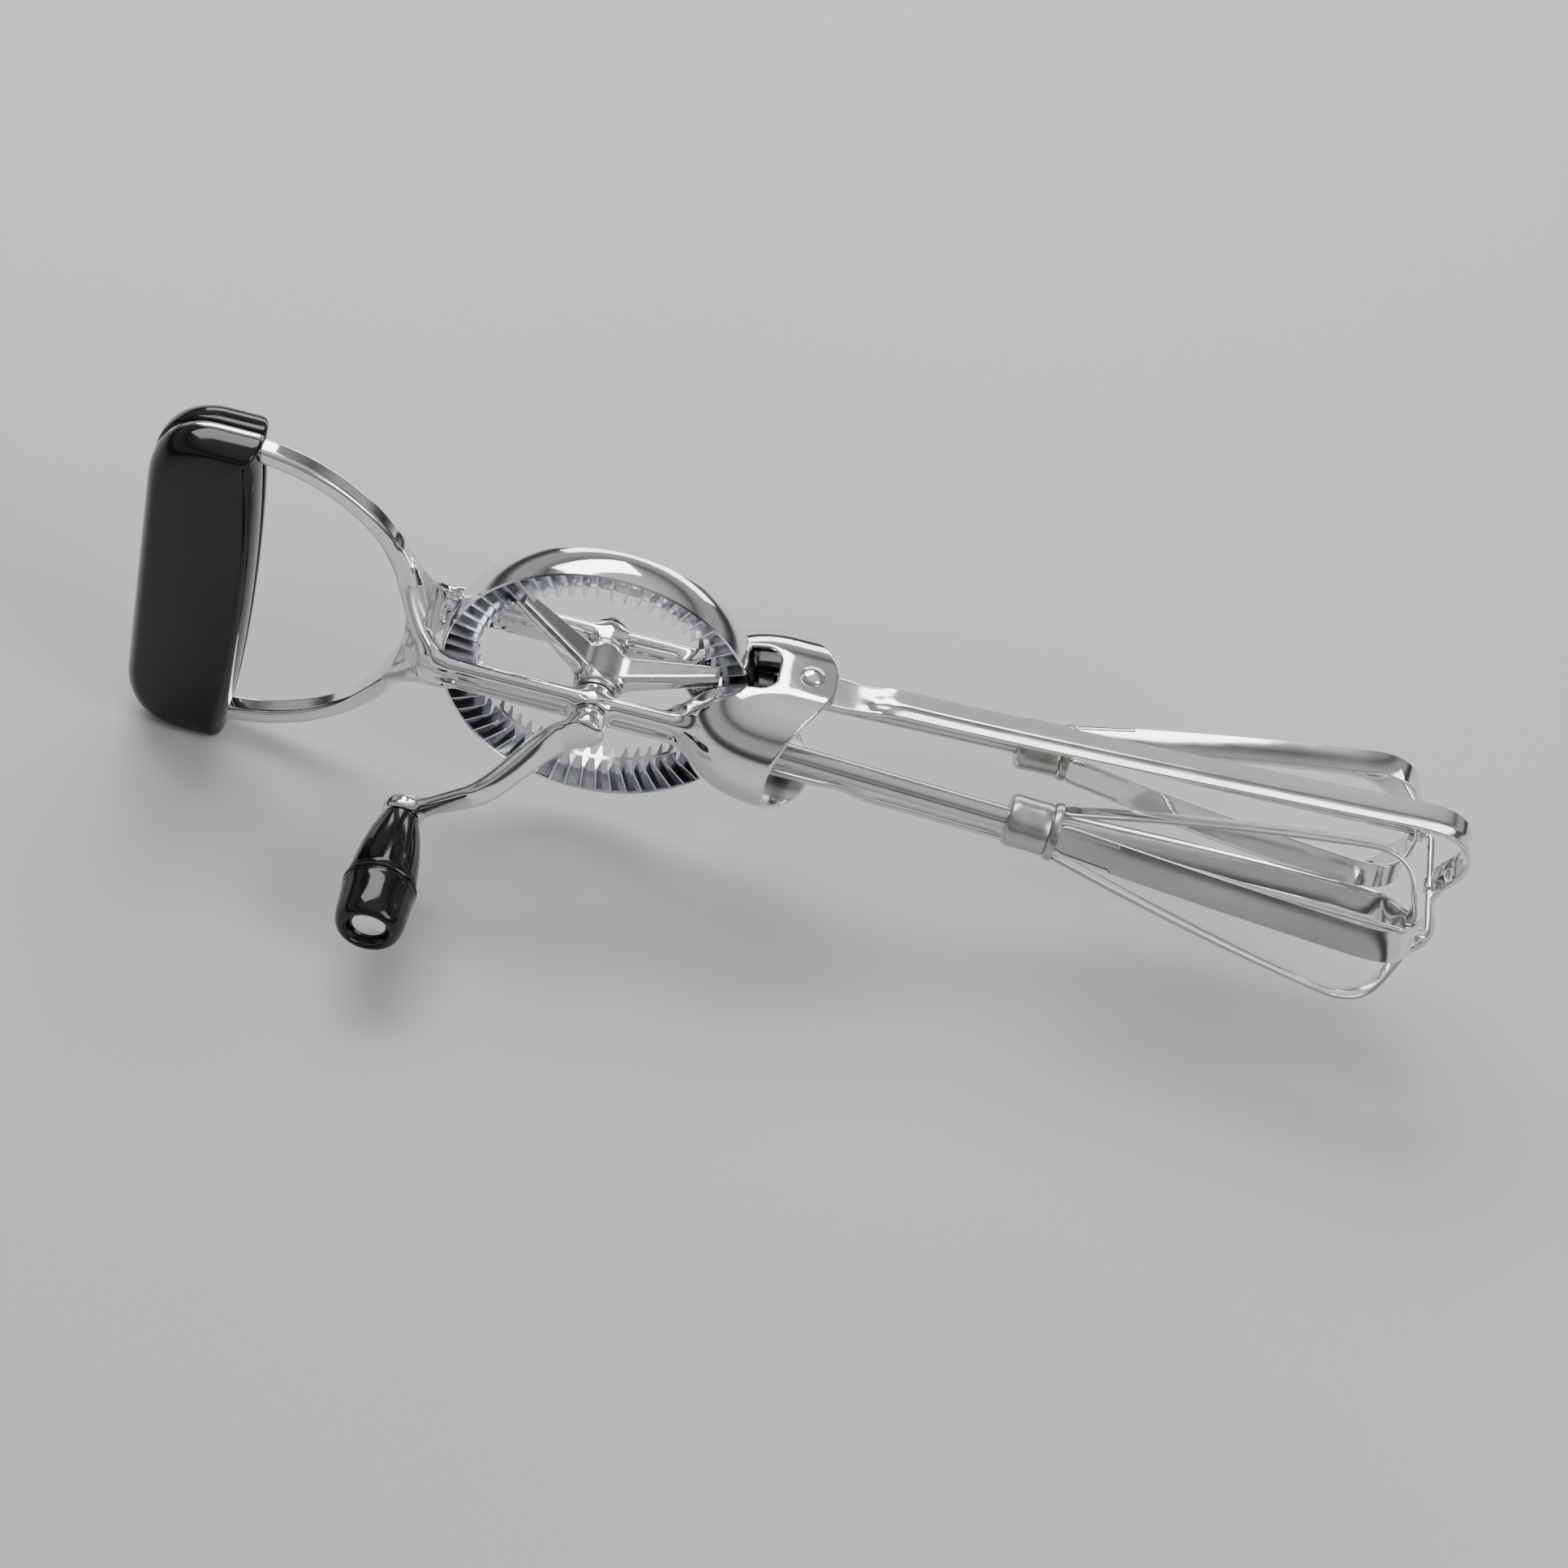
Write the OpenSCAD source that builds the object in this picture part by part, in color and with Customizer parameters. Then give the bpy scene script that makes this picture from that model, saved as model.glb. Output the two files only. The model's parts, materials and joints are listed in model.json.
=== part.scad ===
// Hand-crank rotary egg beater, lying on its side.
// +X runs along the tool from the grip to the beaters, the crank is on the -Y side, +Z is up.
// The origin is under the middle of the bounding box, on the surface that the tool lies on.
// Every module is written about the middle of the main gear; the last section moves it there.

/* [Main gear] */
// Outer radius of the gear's rim
gear_r = 36; // [34:0.5:38]
// Width of the rim band along the axle
rim_w = 8.5; // [8:0.1:9]
// Number of fin-shaped teeth on each face
gear_teeth = 60; // [60]
// Number of teeth on each pinion
pinion_teeth = 12; // [12]
// Radius of the hub
hub_r = 5; // [4.8:0.1:6]
// Radius of the axle
axle_r = 2.4; // [2.2:0.1:2.6]

/* [Beaters] */
// Distance of each beater's axis from the middle plane, level with the axle
axis_y = 7.65; // [7.6:0.05:7.7]
// Splay of each beater away from the middle plane, in degrees
splay = 2.37; // [2.3:0.01:2.45]
// Outer radius of the tube shafts
tube_r = 2.7; // [2.5:0.1:2.8]
// Radius of the collars
collar_r = 6; // [5.5:0.1:6.5]
// Greatest radius of the blades
blade_r = 19.6; // [17:0.1:20]
// Width of a blade
blade_w = 7.2; // [5:0.1:7.5]
// Thickness of a blade
blade_t = 0.8; // [0.6:0.1:1]
// Radius of the fixed centre wire
wire_r = 0.9; // [0.8:0.05:1]

/* [Strap] */
// Width of the strap
strap_w = 8; // [6:0.5:8]
// Thickness of the strap
strap_t = 1.2; // [1:0.1:1.4]
// Distance of the strap's end from the axle
strap_end = 199; // [199]

/* [Housing] */
// Outer radius of the housing's rounded ends
bell_r = 16.6; // [16:0.1:17]
// Offset of the rounded ends from the middle plane
bell_y = 4.6; // [4.4:0.1:4.8]
// Wall of the housing
bell_wall = 1.8; // [1.6:0.1:2]
// Lowest point of the housing's V-shaped edge
bell_tip = 51.5; // [50:0.5:53]

/* [Handle] */
// Distance of the grip's straight outer edge from the axle
grip_outer = 104.6; // [102:0.2:108]
// Length of the grip
grip_len = 94; // [90:1:98]
// Thickness of each grip shell
grip_t = 8; // [7:0.5:9]
// Thickness of the casting's plate between the grip shells
tang_t = 1.6; // [1.2:0.2:2]
// Inner radius of the D-shaped loop
loop_r = 40.6; // [40:0.2:41]

/* [Crank] */
// Distance of the knob's axis from the axle
crank_len = 44.8; // [42:0.2:48]
// Angle of the crank arm about the axle, in degrees
crank_angle = 218.7; // [210:0.1:225]
// Greatest radius of the knob
knob_r = 8.2; // [7.5:0.1:9]
// Length of the knob
knob_len = 32.4; // [30:0.2:36]

/* [Hidden] */
$fn = 64;
eps = 0.01;

// main gear
rim_t = 0.9;
web_t = 1.6;
tooth_in = 27.9;
tooth_out = gear_r - rim_t;
tooth_top = 3.9;
tooth_t = 0.8;
crown = 0.7;
pin_y = 4.2;
pin_size = 0.8;
hub_half = 5.6;
spoke_count = 3;
spoke_first = 19;

// pinions
pinion_x = [29.5, 34];
tube_start = 30.9;
pinion_tip = 7.3;
pinion_root = 4.7;
pinion_nose = 26.4;
pinion_hub_end = 38.2;
pinion_hub_r = 4;
run = 0.06;

// frame casting
slot_half = 6;
slot_end = 38;
rail_y = 9.6;
rail_t = 2.6;
rail_half_z = 4.4;
rib_r = 2;
boss_r = 4.6;
boss_out = 12.6;
bush_wall = 0.9;
bush_r = axle_r + bush_wall;
loop_t = 4;
loop_w = 5;
loop_x = -85;
plate_x = [39.2, 41.2];
rivet_x = 45.7;
rivet_shank = 1.6;
rivet_head = 2.8;
tab_half = 4.75;

// handle
grip_depth = 23.5;
grip_inner = grip_outer - grip_depth;
grip_bow = 2.2;
grip_round = 13;
screw_z = 26;
screw_x = -grip_outer + 12.5;
screw_r = 1.5;
screw_head_r = 3;

// crank
arm_in = 15.6;
arm_out = 27.8;
arm_t = 3.6;
arm_w = 8.6;
arm_boss_r = 4.3;
boss_end_r = 4.8;
knob_start = arm_out + arm_t + 0.6;
knob_end = knob_start + knob_len;
pin_r = 2;
pin_head_r = 4.4;

// beaters, measured along each beater's own axis
collar_u = [95.4, 107.2];
bow_u = collar_u[1];
flare_u = 178;
shoulder_u = 184;
tip_u = 190.6;
neck_r = 6.3;
tube_end = 104;
front_phase = 34;
back_phase = 85;
wire_base = 193.2;
clip_t = 0.7;
clip_half = 1.4;

// the box around the tool, which places the origin
lean = 90 - back_phase;
reach_y = max([for (p = bow_line(blade_t, blade_r - blade_t, tip_u - blade_t))
    axis_y + p[0] * sin(splay) + (p[1] * cos(lean) + blade_w / 2 * sin(lean)) * cos(splay)]);
box_low = [-grip_outer, -knob_end, -grip_len / 2];
box_high = [strap_end, reach_y, grip_len / 2];
origin_shift = [-(box_low[0] + box_high[0]) / 2, -(box_low[1] + box_high[1]) / 2, -box_low[2]];

// ---- helpers ----

// a ring or rod along Y from y0 to y1
module rod_y(r, y0, y1) {
    translate([0, y0, 0]) rotate([-90, 0, 0]) cylinder(r = r, h = y1 - y0);
}

// a rod along X from x0 to x1
module rod_x(r, x0, x1) {
    translate([x0, 0, 0]) rotate([0, 90, 0]) cylinder(r = r, h = x1 - x0);
}

// a profile of [position along X, radius] points, turned about the X axis
module turned_x(points) {
    rotate([0, 90, 0]) rotate_extrude() polygon([for (p = points) [p[1], p[0]]]);
}

// the same about the Y axis, towards -Y
module turned_y(points) {
    rotate([90, 0, 0]) rotate_extrude() polygon([for (p = points) [p[1], p[0]]]);
}

// a child drawn in the XZ plane, thickened from y0 to y1
module slab(y0, y1) {
    translate([0, y1, 0]) rotate([90, 0, 0]) linear_extrude(y1 - y0) children();
}

// the axis of one beater: side is -1 for the front and 1 for the back
module on_beater(side) {
    translate([0, side * axis_y, 0]) rotate([0, 0, side * splay]) children();
}

function bezier(a, b, c, d, n) = [for (i = [0 : n]) let (t = i / n)
    a * pow(1 - t, 3) + 3 * b * t * pow(1 - t, 2) + 3 * c * t * t * (1 - t) + d * pow(t, 3)];

// a list less its first point, so that a curve can follow on from the one before
function rest(points) = [for (i = [1 : len(points) - 1]) points[i]];

// a half outline that ends on the X axis, and its mirror image back again
function both_halves(line) = concat(line, [for (i = [len(line) - 2 : -1 : 0]) [line[i][0], -line[i][1]]]);

// closed outline of a bent strip between an outer and an inner half outline
function strip(outer, inner) = let (back = both_halves(inner))
    concat(both_halves(outer), [for (i = [len(back) - 1 : -1 : 0]) back[i]]);

// ---- frame casting ----

// outline of the grip: a straight outer edge, rounded ends and a bowed inner edge
module grip_outline(inset = 0) {
    half = grip_len / 2 - inset;
    out = -grip_outer + inset;
    in = -grip_inner - inset;
    polygon(concat(
        bezier([in, half - 1.5], [in + 0.1, half], [in, half], [in - 1.5, half], 4),
        bezier([out + grip_round, half], [out + 5, half], [out, half - 6], [out, half - grip_round - 3], 10),
        bezier([out, -half + grip_round + 3], [out, -half + 6], [out + 5, -half],
            [out + grip_round, -half], 10),
        bezier([in - 1.5, -half], [in, -half], [in + 0.1, -half], [in, -half + 1.5], 4),
        bezier([in, -half + 3], [in + grip_bow * 1.3, -half / 2], [in + grip_bow * 1.3, half / 2],
            [in, half - 3], 16)
    ));
}

// rounded section of the loop, as an ellipse
module loop_section(r) {
    polygon([for (a = [0 : 15 : 345]) [r + loop_t / 2 * (1 + cos(a)), loop_w / 2 * sin(a)]]);
}

module loop_bar() {
    translate([loop_x, 0, 0]) rotate([90, 0, 0]) rotate([0, 0, -90])
        rotate_extrude(angle = 180) loop_section(loop_r);
    for (s = [-1, 1])
        translate([loop_x - 6, 0, s * (loop_r + loop_t / 2)]) rotate([0, 90, 0])
            linear_extrude(6.5) polygon([for (a = [0 : 15 : 345]) [loop_t / 2 * cos(a), loop_w / 2 * sin(a)]]);
}

module tang() {
    slab(-tang_t / 2, tang_t / 2) grip_outline(0.35);
}

// one side rail with its rib
module rail(side) {
    translate([-44, side * rail_y - rail_t / 2, -rail_half_z]) cube([64, rail_t, 2 * rail_half_z]);
    translate([0, side * (rail_y + 0.9), 0.6]) rod_x(rib_r, -42, 22);
}

// fork that joins the loop to the two rails
module fork() {
    for (side = [-1, 1])
        hull() {
            translate([-42.6, 0, 0]) rotate([90, 0, 0]) cylinder(r = 2, h = loop_w, center = true, $fn = 32);
            translate([-40, side * (rail_y + 0.6), 0]) rotate([90, 0, 0])
                cylinder(r = rail_half_z, h = 3.8, center = true, $fn = 32);
            for (s = [-1, 1])
                translate([loop_x + (loop_r + loop_t / 2) * cos(18), 0, s * (loop_r + loop_t / 2) * sin(18)])
                    rotate([90, 0, 0]) cylinder(r = 1.4, h = 3.6, center = true, $fn = 32);
        }
}

// outer or inner surface of the housing, less by the given wall
module bell(wall) {
    profile = concat(
        bezier([17.5 + wall, 4 - wall], [21.5 + wall / 2, 5 - wall / 2], [22 + wall, 16.4 - wall],
            [41, bell_r - wall], 12),
        [[bell_tip + 3, bell_r - wall], [bell_tip + 3, 0], [17.5 + wall, 0]]);
    for (side = [-1, 1]) translate([0, side * bell_y, 0]) turned_x(profile);
    translate([29, -bell_y, -bell_r + wall]) cube([bell_tip - 26, 2 * bell_y, 2 * (bell_r - wall)]);
}

// V-shaped lower edge, seen along Z
module bell_mouth_cut() {
    translate([0, 0, -30]) linear_extrude(60) polygon(concat(
        [[80, -30], [41, -30], [41, -21]],
        bezier([41, -20], [46.5, -11], [bell_tip + 0.5, -7], [bell_tip, 0], 8),
        bezier([bell_tip, 0], [bell_tip + 0.5, 7], [46.5, 11], [41, 20], 8),
        [[41, 21], [41, 30], [80, 30]]));
}

// slot in which the gear turns, with rounded corners at its lower end
module gear_slot() {
    r = 3.4;
    translate([0, 0, -40]) linear_extrude(80) union() {
        translate([-39.4, -slot_half]) square([39.4 + slot_end - r, 2 * slot_half]);
        translate([0, -slot_half + r]) square([slot_end, 2 * (slot_half - r)]);
        for (s = [-1, 1]) translate([slot_end - r, s * (slot_half - r)]) circle(r = r);
    }
}

module frame_casting() {
    color("silver") difference() {
        union() {
            loop_bar();
            tang();
            fork();
            for (side = [-1, 1]) {
                rail(side);
                rod_y(boss_r, side > 0 ? slot_half + 0.9 : -boss_out, side > 0 ? boss_out : -slot_half - 0.9);
            }
            difference() {
                bell(0);
                bell(bell_wall);
            }
            for (side = [-1, 1]) on_beater(side) rod_x(2.4, 15, 24.6);
        }
        bell_mouth_cut();
        gear_slot();
        rod_y(bush_r, -30, 30);
        for (s = [-1, 1]) {
            translate([rivet_x, 0, s * (bell_r - bell_wall - 1)]) cylinder(r = rivet_shank, h = 8, center = true);
            translate([screw_x, 0, s * screw_z]) rod_y(screw_r + 0.1, -3, 3);
        }
        for (side = [-1, 1]) on_beater(side) rod_x(wire_r, 19, 40);
    }
}

// ---- handle ----

// one grip shell: nested outlines that draw in towards a domed face
module shell_body() {
    steps = 6;
    for (i = [0 : steps - 1]) {
        inset = 3.4 * (1 - sqrt(1 - pow((i + 0.5) / steps, 3)));
        slab(-tang_t / 2 - grip_t * (i + 1) / steps, -tang_t / 2) grip_outline(inset);
    }
}

module grip_front_shell() {
    color("black") difference() {
        shell_body();
        loop_seats();
        for (s = [-1, 1]) translate([screw_x, 0, s * screw_z]) rod_y(screw_r, -6.5, 0);
    }
}

module grip_back_shell() {
    color("black") mirror([0, 1, 0]) difference() {
        shell_body();
        loop_seats();
        for (s = [-1, 1]) translate([screw_x, 0, s * screw_z]) {
            rod_y(screw_r + 0.1, -20, 0);
            rod_y(screw_head_r + 0.1, -20, -grip_t + 1.4);
        }
    }
}

// grooves in the shells for the ends of the loop
module loop_seats() {
    for (s = [-1, 1])
        translate([loop_x - 6.2, -loop_w / 2 - 0.1, s * (loop_r + loop_t / 2) - loop_t / 2 - 0.1])
            cube([20, loop_w + 0.2, loop_t + 0.2]);
}

module grip_screws() {
    color("gainsboro") for (s = [-1, 1]) translate([screw_x, 0, s * screw_z]) difference() {
        union() {
            rod_y(screw_r, -6.2, grip_t - 1.4);
            rod_y(screw_head_r, grip_t - 1.4, grip_t - 0.1);
        }
        translate([-screw_head_r, grip_t - 0.7, -0.4]) cube([2 * screw_head_r, 2, 0.8]);
    }
}

// ---- axle, gear and crank ----

module bush(side) {
    color("darkgray") difference() {
        rod_y(bush_r, side > 0 ? 6.9 : -boss_out, side > 0 ? boss_out : -6.9);
        rod_y(axle_r + run, -30, 30);
    }
}

module axle_bush_front() { bush(-1); }

module axle_bush_back() { bush(1); }

module axle() {
    color("silver") difference() {
        union() {
            rod_y(axle_r, -arm_in - arm_t + 0.4, boss_out + 0.8);
            turned_y([[-boss_out - 2.6, 0], [-boss_out - 2.6, 2.2], [-boss_out - 1.8, 3.7],
                [-boss_out - 0.8, 4.1], [-boss_out - 0.8, 0]]);
        }
        translate([0, -pin_y, -10]) cylinder(r = pin_size, h = 20);
    }
}

module gear_pin() {
    color("dimgray") translate([0, -pin_y, -hub_r + 0.3]) cylinder(r = pin_size, h = 2 * hub_r - 0.6);
}

// fins on one face, from the web out to their top lands
module fins() {
    linear_extrude(tooth_top - web_t / 2 + eps) for (i = [0 : gear_teeth - 1])
        rotate(360 / gear_teeth * (i + 0.5)) translate([tooth_in, -tooth_t / 2])
            square([tooth_out - tooth_in + 0.3, tooth_t]);
}

module main_gear() {
    color("silver") rotate([90, 0, 0]) difference() {
        union() {
            rotate_extrude($fn = 128) polygon(concat(
                [[tooth_out, rim_w / 2], [tooth_out, -rim_w / 2]],
                [for (t = [-1 : 0.25 : 1]) [gear_r - crown * t * t, t * rim_w / 2]]));
            difference() {
                cylinder(r = tooth_out + 0.2, h = web_t, center = true, $fn = 128);
                cylinder(r = tooth_in, h = 2 * web_t, center = true, $fn = 128);
            }
            for (side = [-1, 1]) mirror([0, 0, side > 0 ? 0 : 1]) difference() {
                translate([0, 0, web_t / 2 - eps]) fins();
                rotate_extrude($fn = 128) polygon([[0, web_t / 2 + 0.2], [tooth_in, web_t / 2 + 0.2],
                    [tooth_in + 2.7, tooth_top], [tooth_in + 2.7, 9], [0, 9]]);
            }
            cylinder(r = hub_r, h = 2 * hub_half, center = true);
            for (i = [0 : spoke_count - 1]) rotate(spoke_first + 360 / spoke_count * i) {
                translate([0, 0, -1.1]) linear_extrude(2.2)
                    polygon([[0, -4.4], [tooth_in + 0.6, -1.7], [tooth_in + 0.6, 1.7], [0, 4.4]]);
                rotate([90, 0, 0]) translate([0, 0, -0.7]) linear_extrude(1.4)
                    polygon([[0, -4.6], [tooth_in + 0.4, -1.6], [tooth_in + 0.4, 1.6], [0, 4.6]]);
            }
        }
        cylinder(r = axle_r, h = 30, center = true);
        translate([0, 0, pin_y]) rotate([90, 0, 0]) cylinder(r = pin_size, h = 30, center = true);
    }
}

// height of the arm's middle above the middle plane, s along the arm
function arm_y(s) = let (t = min(1, max(0, (s - 5) / 22))) arm_in + arm_t / 2
    + (arm_out - arm_in) * t * t * (3 - 2 * t);

module crank_arm() {
    color("silver") rotate([0, -crank_angle + 360, 0]) difference() {
        union() {
            intersection() {
                translate([0, 0, -arm_w / 2]) linear_extrude(arm_w) polygon(concat(
                    [[-arm_boss_r, -arm_in - arm_t]],
                    [for (s = [0 : 2 : crank_len]) [s, -arm_y(s) - arm_t / 2]],
                    [for (s = [crank_len : -2 : 0]) [s, -arm_y(s) + arm_t / 2]],
                    [[-arm_boss_r, -arm_in]]));
                slab(-60, 0) union() {
                    circle(r = arm_boss_r);
                    polygon([[0, -arm_boss_r], [14, -3.1], [34, -2.2], [crank_len, -3.3], [crank_len, 3.3],
                        [34, 2.2], [14, 3.1], [0, arm_boss_r]]);
                }
            }
            turned_y([[boss_out + 1.4, 0], [boss_out + 1.4, arm_boss_r - 0.3], [boss_out + 1.8, arm_boss_r],
                [arm_in + arm_t / 2, arm_boss_r], [arm_in + arm_t / 2, 0]]);
            translate([crank_len, 0, 0]) turned_y([[arm_out - 0.4, 0], [arm_out - 0.4, boss_end_r - 0.6],
                [arm_out + 0.6, boss_end_r], [knob_start - 1, boss_end_r - 0.4],
                [knob_start - 0.2, boss_end_r - 1.2], [knob_start - 0.2, 0]]);
        }
        rod_y(axle_r, -arm_in - arm_t + 0.4, 0);
        translate([crank_len, 0, 0]) rod_y(pin_r, -60, 0);
    }
}

module thrust_washer(side) {
    y0 = hub_half + 0.12;
    color("darkgray") difference() {
        rod_y(hub_r - 0.4, side > 0 ? y0 : -y0 - 0.9, side > 0 ? y0 + 0.9 : -y0);
        rod_y(axle_r + run, -30, 30);
    }
}

module thrust_washer_front() { thrust_washer(-1); }

module thrust_washer_back() { thrust_washer(1); }

module at_knob() {
    rotate([0, -crank_angle + 360, 0]) translate([crank_len, 0, 0]) children();
}

// rivet on which the knob turns, with a low domed head sunk in the knob's end
module knob_pin() {
    color("gainsboro") at_knob() turned_y([[arm_out - 1.4, 0], [arm_out - 1.4, 2.2], [arm_out - 0.4, 3],
        [arm_out - 0.4, pin_r], [knob_end - 2.6, pin_r], [knob_end - 2.6, pin_head_r],
        [knob_end - 1.7, pin_head_r], [knob_end - 0.9, pin_head_r * 0.62], [knob_end - 0.6, 0]]);
}

module crank_knob() {
    color("black") at_knob() turned_y(concat(
        [[knob_start, pin_r + run], [knob_start, 4]],
        bezier([knob_start + 0.6, 4.6], [knob_start + 6, 6.4], [knob_start + 12, 7.6],
            [knob_start + knob_len * 0.58, knob_r - 0.4], 10),
        [[knob_start + knob_len * 0.59, knob_r + 0.2], [knob_start + knob_len * 0.62, knob_r + 0.3],
            [knob_start + knob_len * 0.65, knob_r]],
        bezier([knob_end - 4.5, knob_r - 0.1], [knob_end - 1.5, knob_r - 0.2], [knob_end, knob_r - 1.6],
            [knob_end, knob_r - 3], 8),
        [[knob_end - 2.7, knob_r - 3.4], [knob_end - 2.7, pin_r + run]]));
}

// ---- beaters ----

module shaft_tube(side) {
    color("lightgray") on_beater(side) difference() {
        rod_x(tube_r, tube_start, tube_end);
        rod_x(tube_r - 0.7, tube_start - 1, tube_end + 1);
    }
}

// twelve straight teeth; one points at the gear when the tool is at rest
module pinion(side) {
    color("dimgray") on_beater(side) difference() {
        union() {
            rod_x(pinion_root, pinion_x[0], pinion_x[1]);
            rod_x(pinion_hub_r, pinion_x[1] - eps, pinion_hub_end);
            rod_x(2.2, pinion_nose, pinion_x[0] + eps);
            translate([pinion_x[0], 0, 0]) rotate([90, 0, 90])
                linear_extrude(pinion_x[1] - pinion_x[0]) for (i = [0 : pinion_teeth - 1])
                    rotate(360 / pinion_teeth * i) polygon([[pinion_root - 0.5, -0.85], [pinion_tip, -0.36],
                        [pinion_tip, 0.36], [pinion_root - 0.5, 0.85]]);
        }
        rod_x(wire_r + run, 0, 60);
        rod_x(tube_r, tube_start, 60);
    }
}

module collar(side) {
    color("silver") on_beater(side) difference() {
        turned_x([[collar_u[0], 0], [collar_u[0], collar_r - 1.4], [collar_u[0] + 0.5, collar_r - 0.5],
            [collar_u[0] + 1.5, collar_r], [collar_u[1] - 1.6, collar_r + 0.25],
            [collar_u[1] - 0.7, collar_r + 0.75], [collar_u[1], collar_r + 0.6], [collar_u[1], 0]]);
        rod_x(tube_r, collar_u[0] - 1, tube_end);
        rod_x(neck_r - blade_t, tube_end, collar_u[1] + 1);
    }
}

// half outline of a bow: [distance along the axis, radius], grown by the given offset
function bow_line(out, r_max, u_tip) = concat(
    [[bow_u, neck_r - blade_t + out]],
    bezier([bow_u + 3, neck_r - blade_t + out], [bow_u + 9, neck_r + 0.8 + out],
        [flare_u - 40, r_max * 0.68 + out], [flare_u, r_max - 0.9 + out], 10),
    rest(bezier([flare_u, r_max - 0.9 + out], [flare_u + 3.6, r_max + out],
        [shoulder_u + out, r_max + out], [shoulder_u + 1.2 + out, r_max - 5], 6)),
    rest(bezier([shoulder_u + 1.2 + out, r_max - 5], [shoulder_u + 3.4 + out, r_max - 11],
        [u_tip + out, 7], [u_tip + out, blade_w / 2 + 0.2], 6)),
    [[u_tip + out, 0]]);

// one U-shaped bow: two opposite blades in a single strip
module bow(side, turn, u_tip) {
    outer = bow_line(blade_t, blade_r - blade_t, u_tip - blade_t);
    inner = bow_line(0, blade_r - blade_t, u_tip - blade_t);
    on_beater(side) rotate([turn, 0, 0]) difference() {
        translate([0, 0, -blade_w / 2]) linear_extrude(blade_w) polygon(strip(outer, inner));
        rod_x(wire_r + 0.5, 150, 200);
    }
}

// sleeve in which the bows' crossed ends turn on the wire
module tip_bush(side) {
    color("gainsboro") on_beater(side) difference() {
        union() {
            rod_x(wire_r + 0.5, tip_u - 1.6 - blade_t, tip_u);
            rod_x(2.4, tip_u - 2.2 - blade_t, tip_u - 1.6 - blade_t);
            rod_x(2.4, tip_u, tip_u + 0.5);
        }
        rod_x(wire_r + run, 150, 200);
    }
}

module shaft_tube_front() { shaft_tube(-1); }

module pinion_front() { pinion(-1); }

module collar_front() { collar(-1); }

module blade_bow_front_a() { color("gainsboro") bow(-1, -front_phase, tip_u); }

module blade_bow_front_b() { color("gainsboro") bow(-1, 90 - front_phase, tip_u - blade_t); }

module tip_bush_front() { tip_bush(-1); }

module shaft_tube_back() { shaft_tube(1); }

module pinion_back() { pinion(1); }

module collar_back() { collar(1); }

module blade_bow_back_a() { color("gainsboro") bow(1, back_phase, tip_u); }

module blade_bow_back_b() { color("gainsboro") bow(1, back_phase - 90, tip_u - blade_t); }

module tip_bush_back() { tip_bush(1); }

// ---- strap, wire and fixings ----

module bearing_plate() {
    color("silver") difference() {
        intersection() {
            bell(bell_wall);
            translate([plate_x[0], -30, -30]) cube([plate_x[1] - plate_x[0], 60, 60]);
        }
        for (side = [-1, 1]) on_beater(side) rod_x(tube_r + run, 30, 50);
    }
}

// half outline of the strap in the XZ plane, grown by the given offset
function strap_line(out) = concat(
    [[plate_x[1] + 0.6, bell_r - bell_wall - strap_t + out], [58, bell_r - bell_wall - strap_t + out]],
    rest(bezier([58, bell_r - bell_wall - strap_t + out], [70, bell_r - 1.6 - strap_t + out],
        [120, 18.2 - strap_t + out], [180, 22.6 - strap_t + out], 8)),
    rest(bezier([180, 22.6 - strap_t + out], [191, 23.6 - strap_t + out],
        [strap_end - strap_t + out, 20.5], [strap_end - strap_t + out, 12.4], 8)),
    rest(bezier([strap_end - strap_t + out, 12.4], [strap_end - strap_t + out, 5.4],
        [wire_base + wire_r + out, 5.6], [wire_base + wire_r + out, 0], 6)));

// the strap's whole band, with two slots for the legs of the wire's clip
module strap_band() {
    difference() {
        slab(-tab_half, tab_half) polygon(strip(strap_line(strap_t), strap_line(0)));
        clip_legs();
    }
}

module strap() {
    half = strap_w / 2;
    color("silver") difference() {
        intersection() {
            strap_band();
            translate([0, 0, -50]) linear_extrude(100) polygon([[30, -tab_half], [52, -tab_half],
                [58, -half], [210, -half], [210, half], [58, half], [52, tab_half], [30, tab_half]]);
        }
        for (s = [-1, 1])
            translate([rivet_x, 0, s * (bell_r - bell_wall)]) cylinder(r = rivet_shank, h = 8, center = true);
    }
}

module strap_rivet(s) {
    top = bell_r;
    color("gainsboro") mirror([0, 0, s > 0 ? 0 : 1]) translate([rivet_x, 0, 0]) rotate_extrude() polygon([
        [0, top - bell_wall - strap_t - 1.2], [rivet_shank + 0.9, top - bell_wall - strap_t - 1],
        [rivet_shank + 0.9, top - bell_wall - strap_t], [rivet_shank, top - bell_wall - strap_t],
        [rivet_shank, top], [rivet_head, top], [rivet_head - 0.3, top + 0.6], [rivet_head - 1.3, top + 1.3],
        [0, top + 1.6]]);
}

module strap_rivet_upper() { strap_rivet(1); }

module strap_rivet_lower() { strap_rivet(-1); }

// one wire: up through both beaters and across below their tips
module centre_wire() {
    corner = 1.8;
    end_y = axis_y * cos(splay) + wire_base * tan(splay) - 0.1;
    color("gainsboro") {
        for (side = [-1, 1]) on_beater(side) rod_x(wire_r, 19, wire_base - corner);
        for (side = [-1, 1]) on_beater(side) translate([wire_base - corner, -side * corner, 0])
            rotate([0, 0, side > 0 ? 0 : -90 ]) rotate_extrude(angle = 90)
                translate([corner, 0]) circle(r = wire_r);
        translate([wire_base - 0.02, 0, 0]) rod_y(wire_r, -end_y + corner - 0.3, end_y - corner + 0.3);
    }
}

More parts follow.
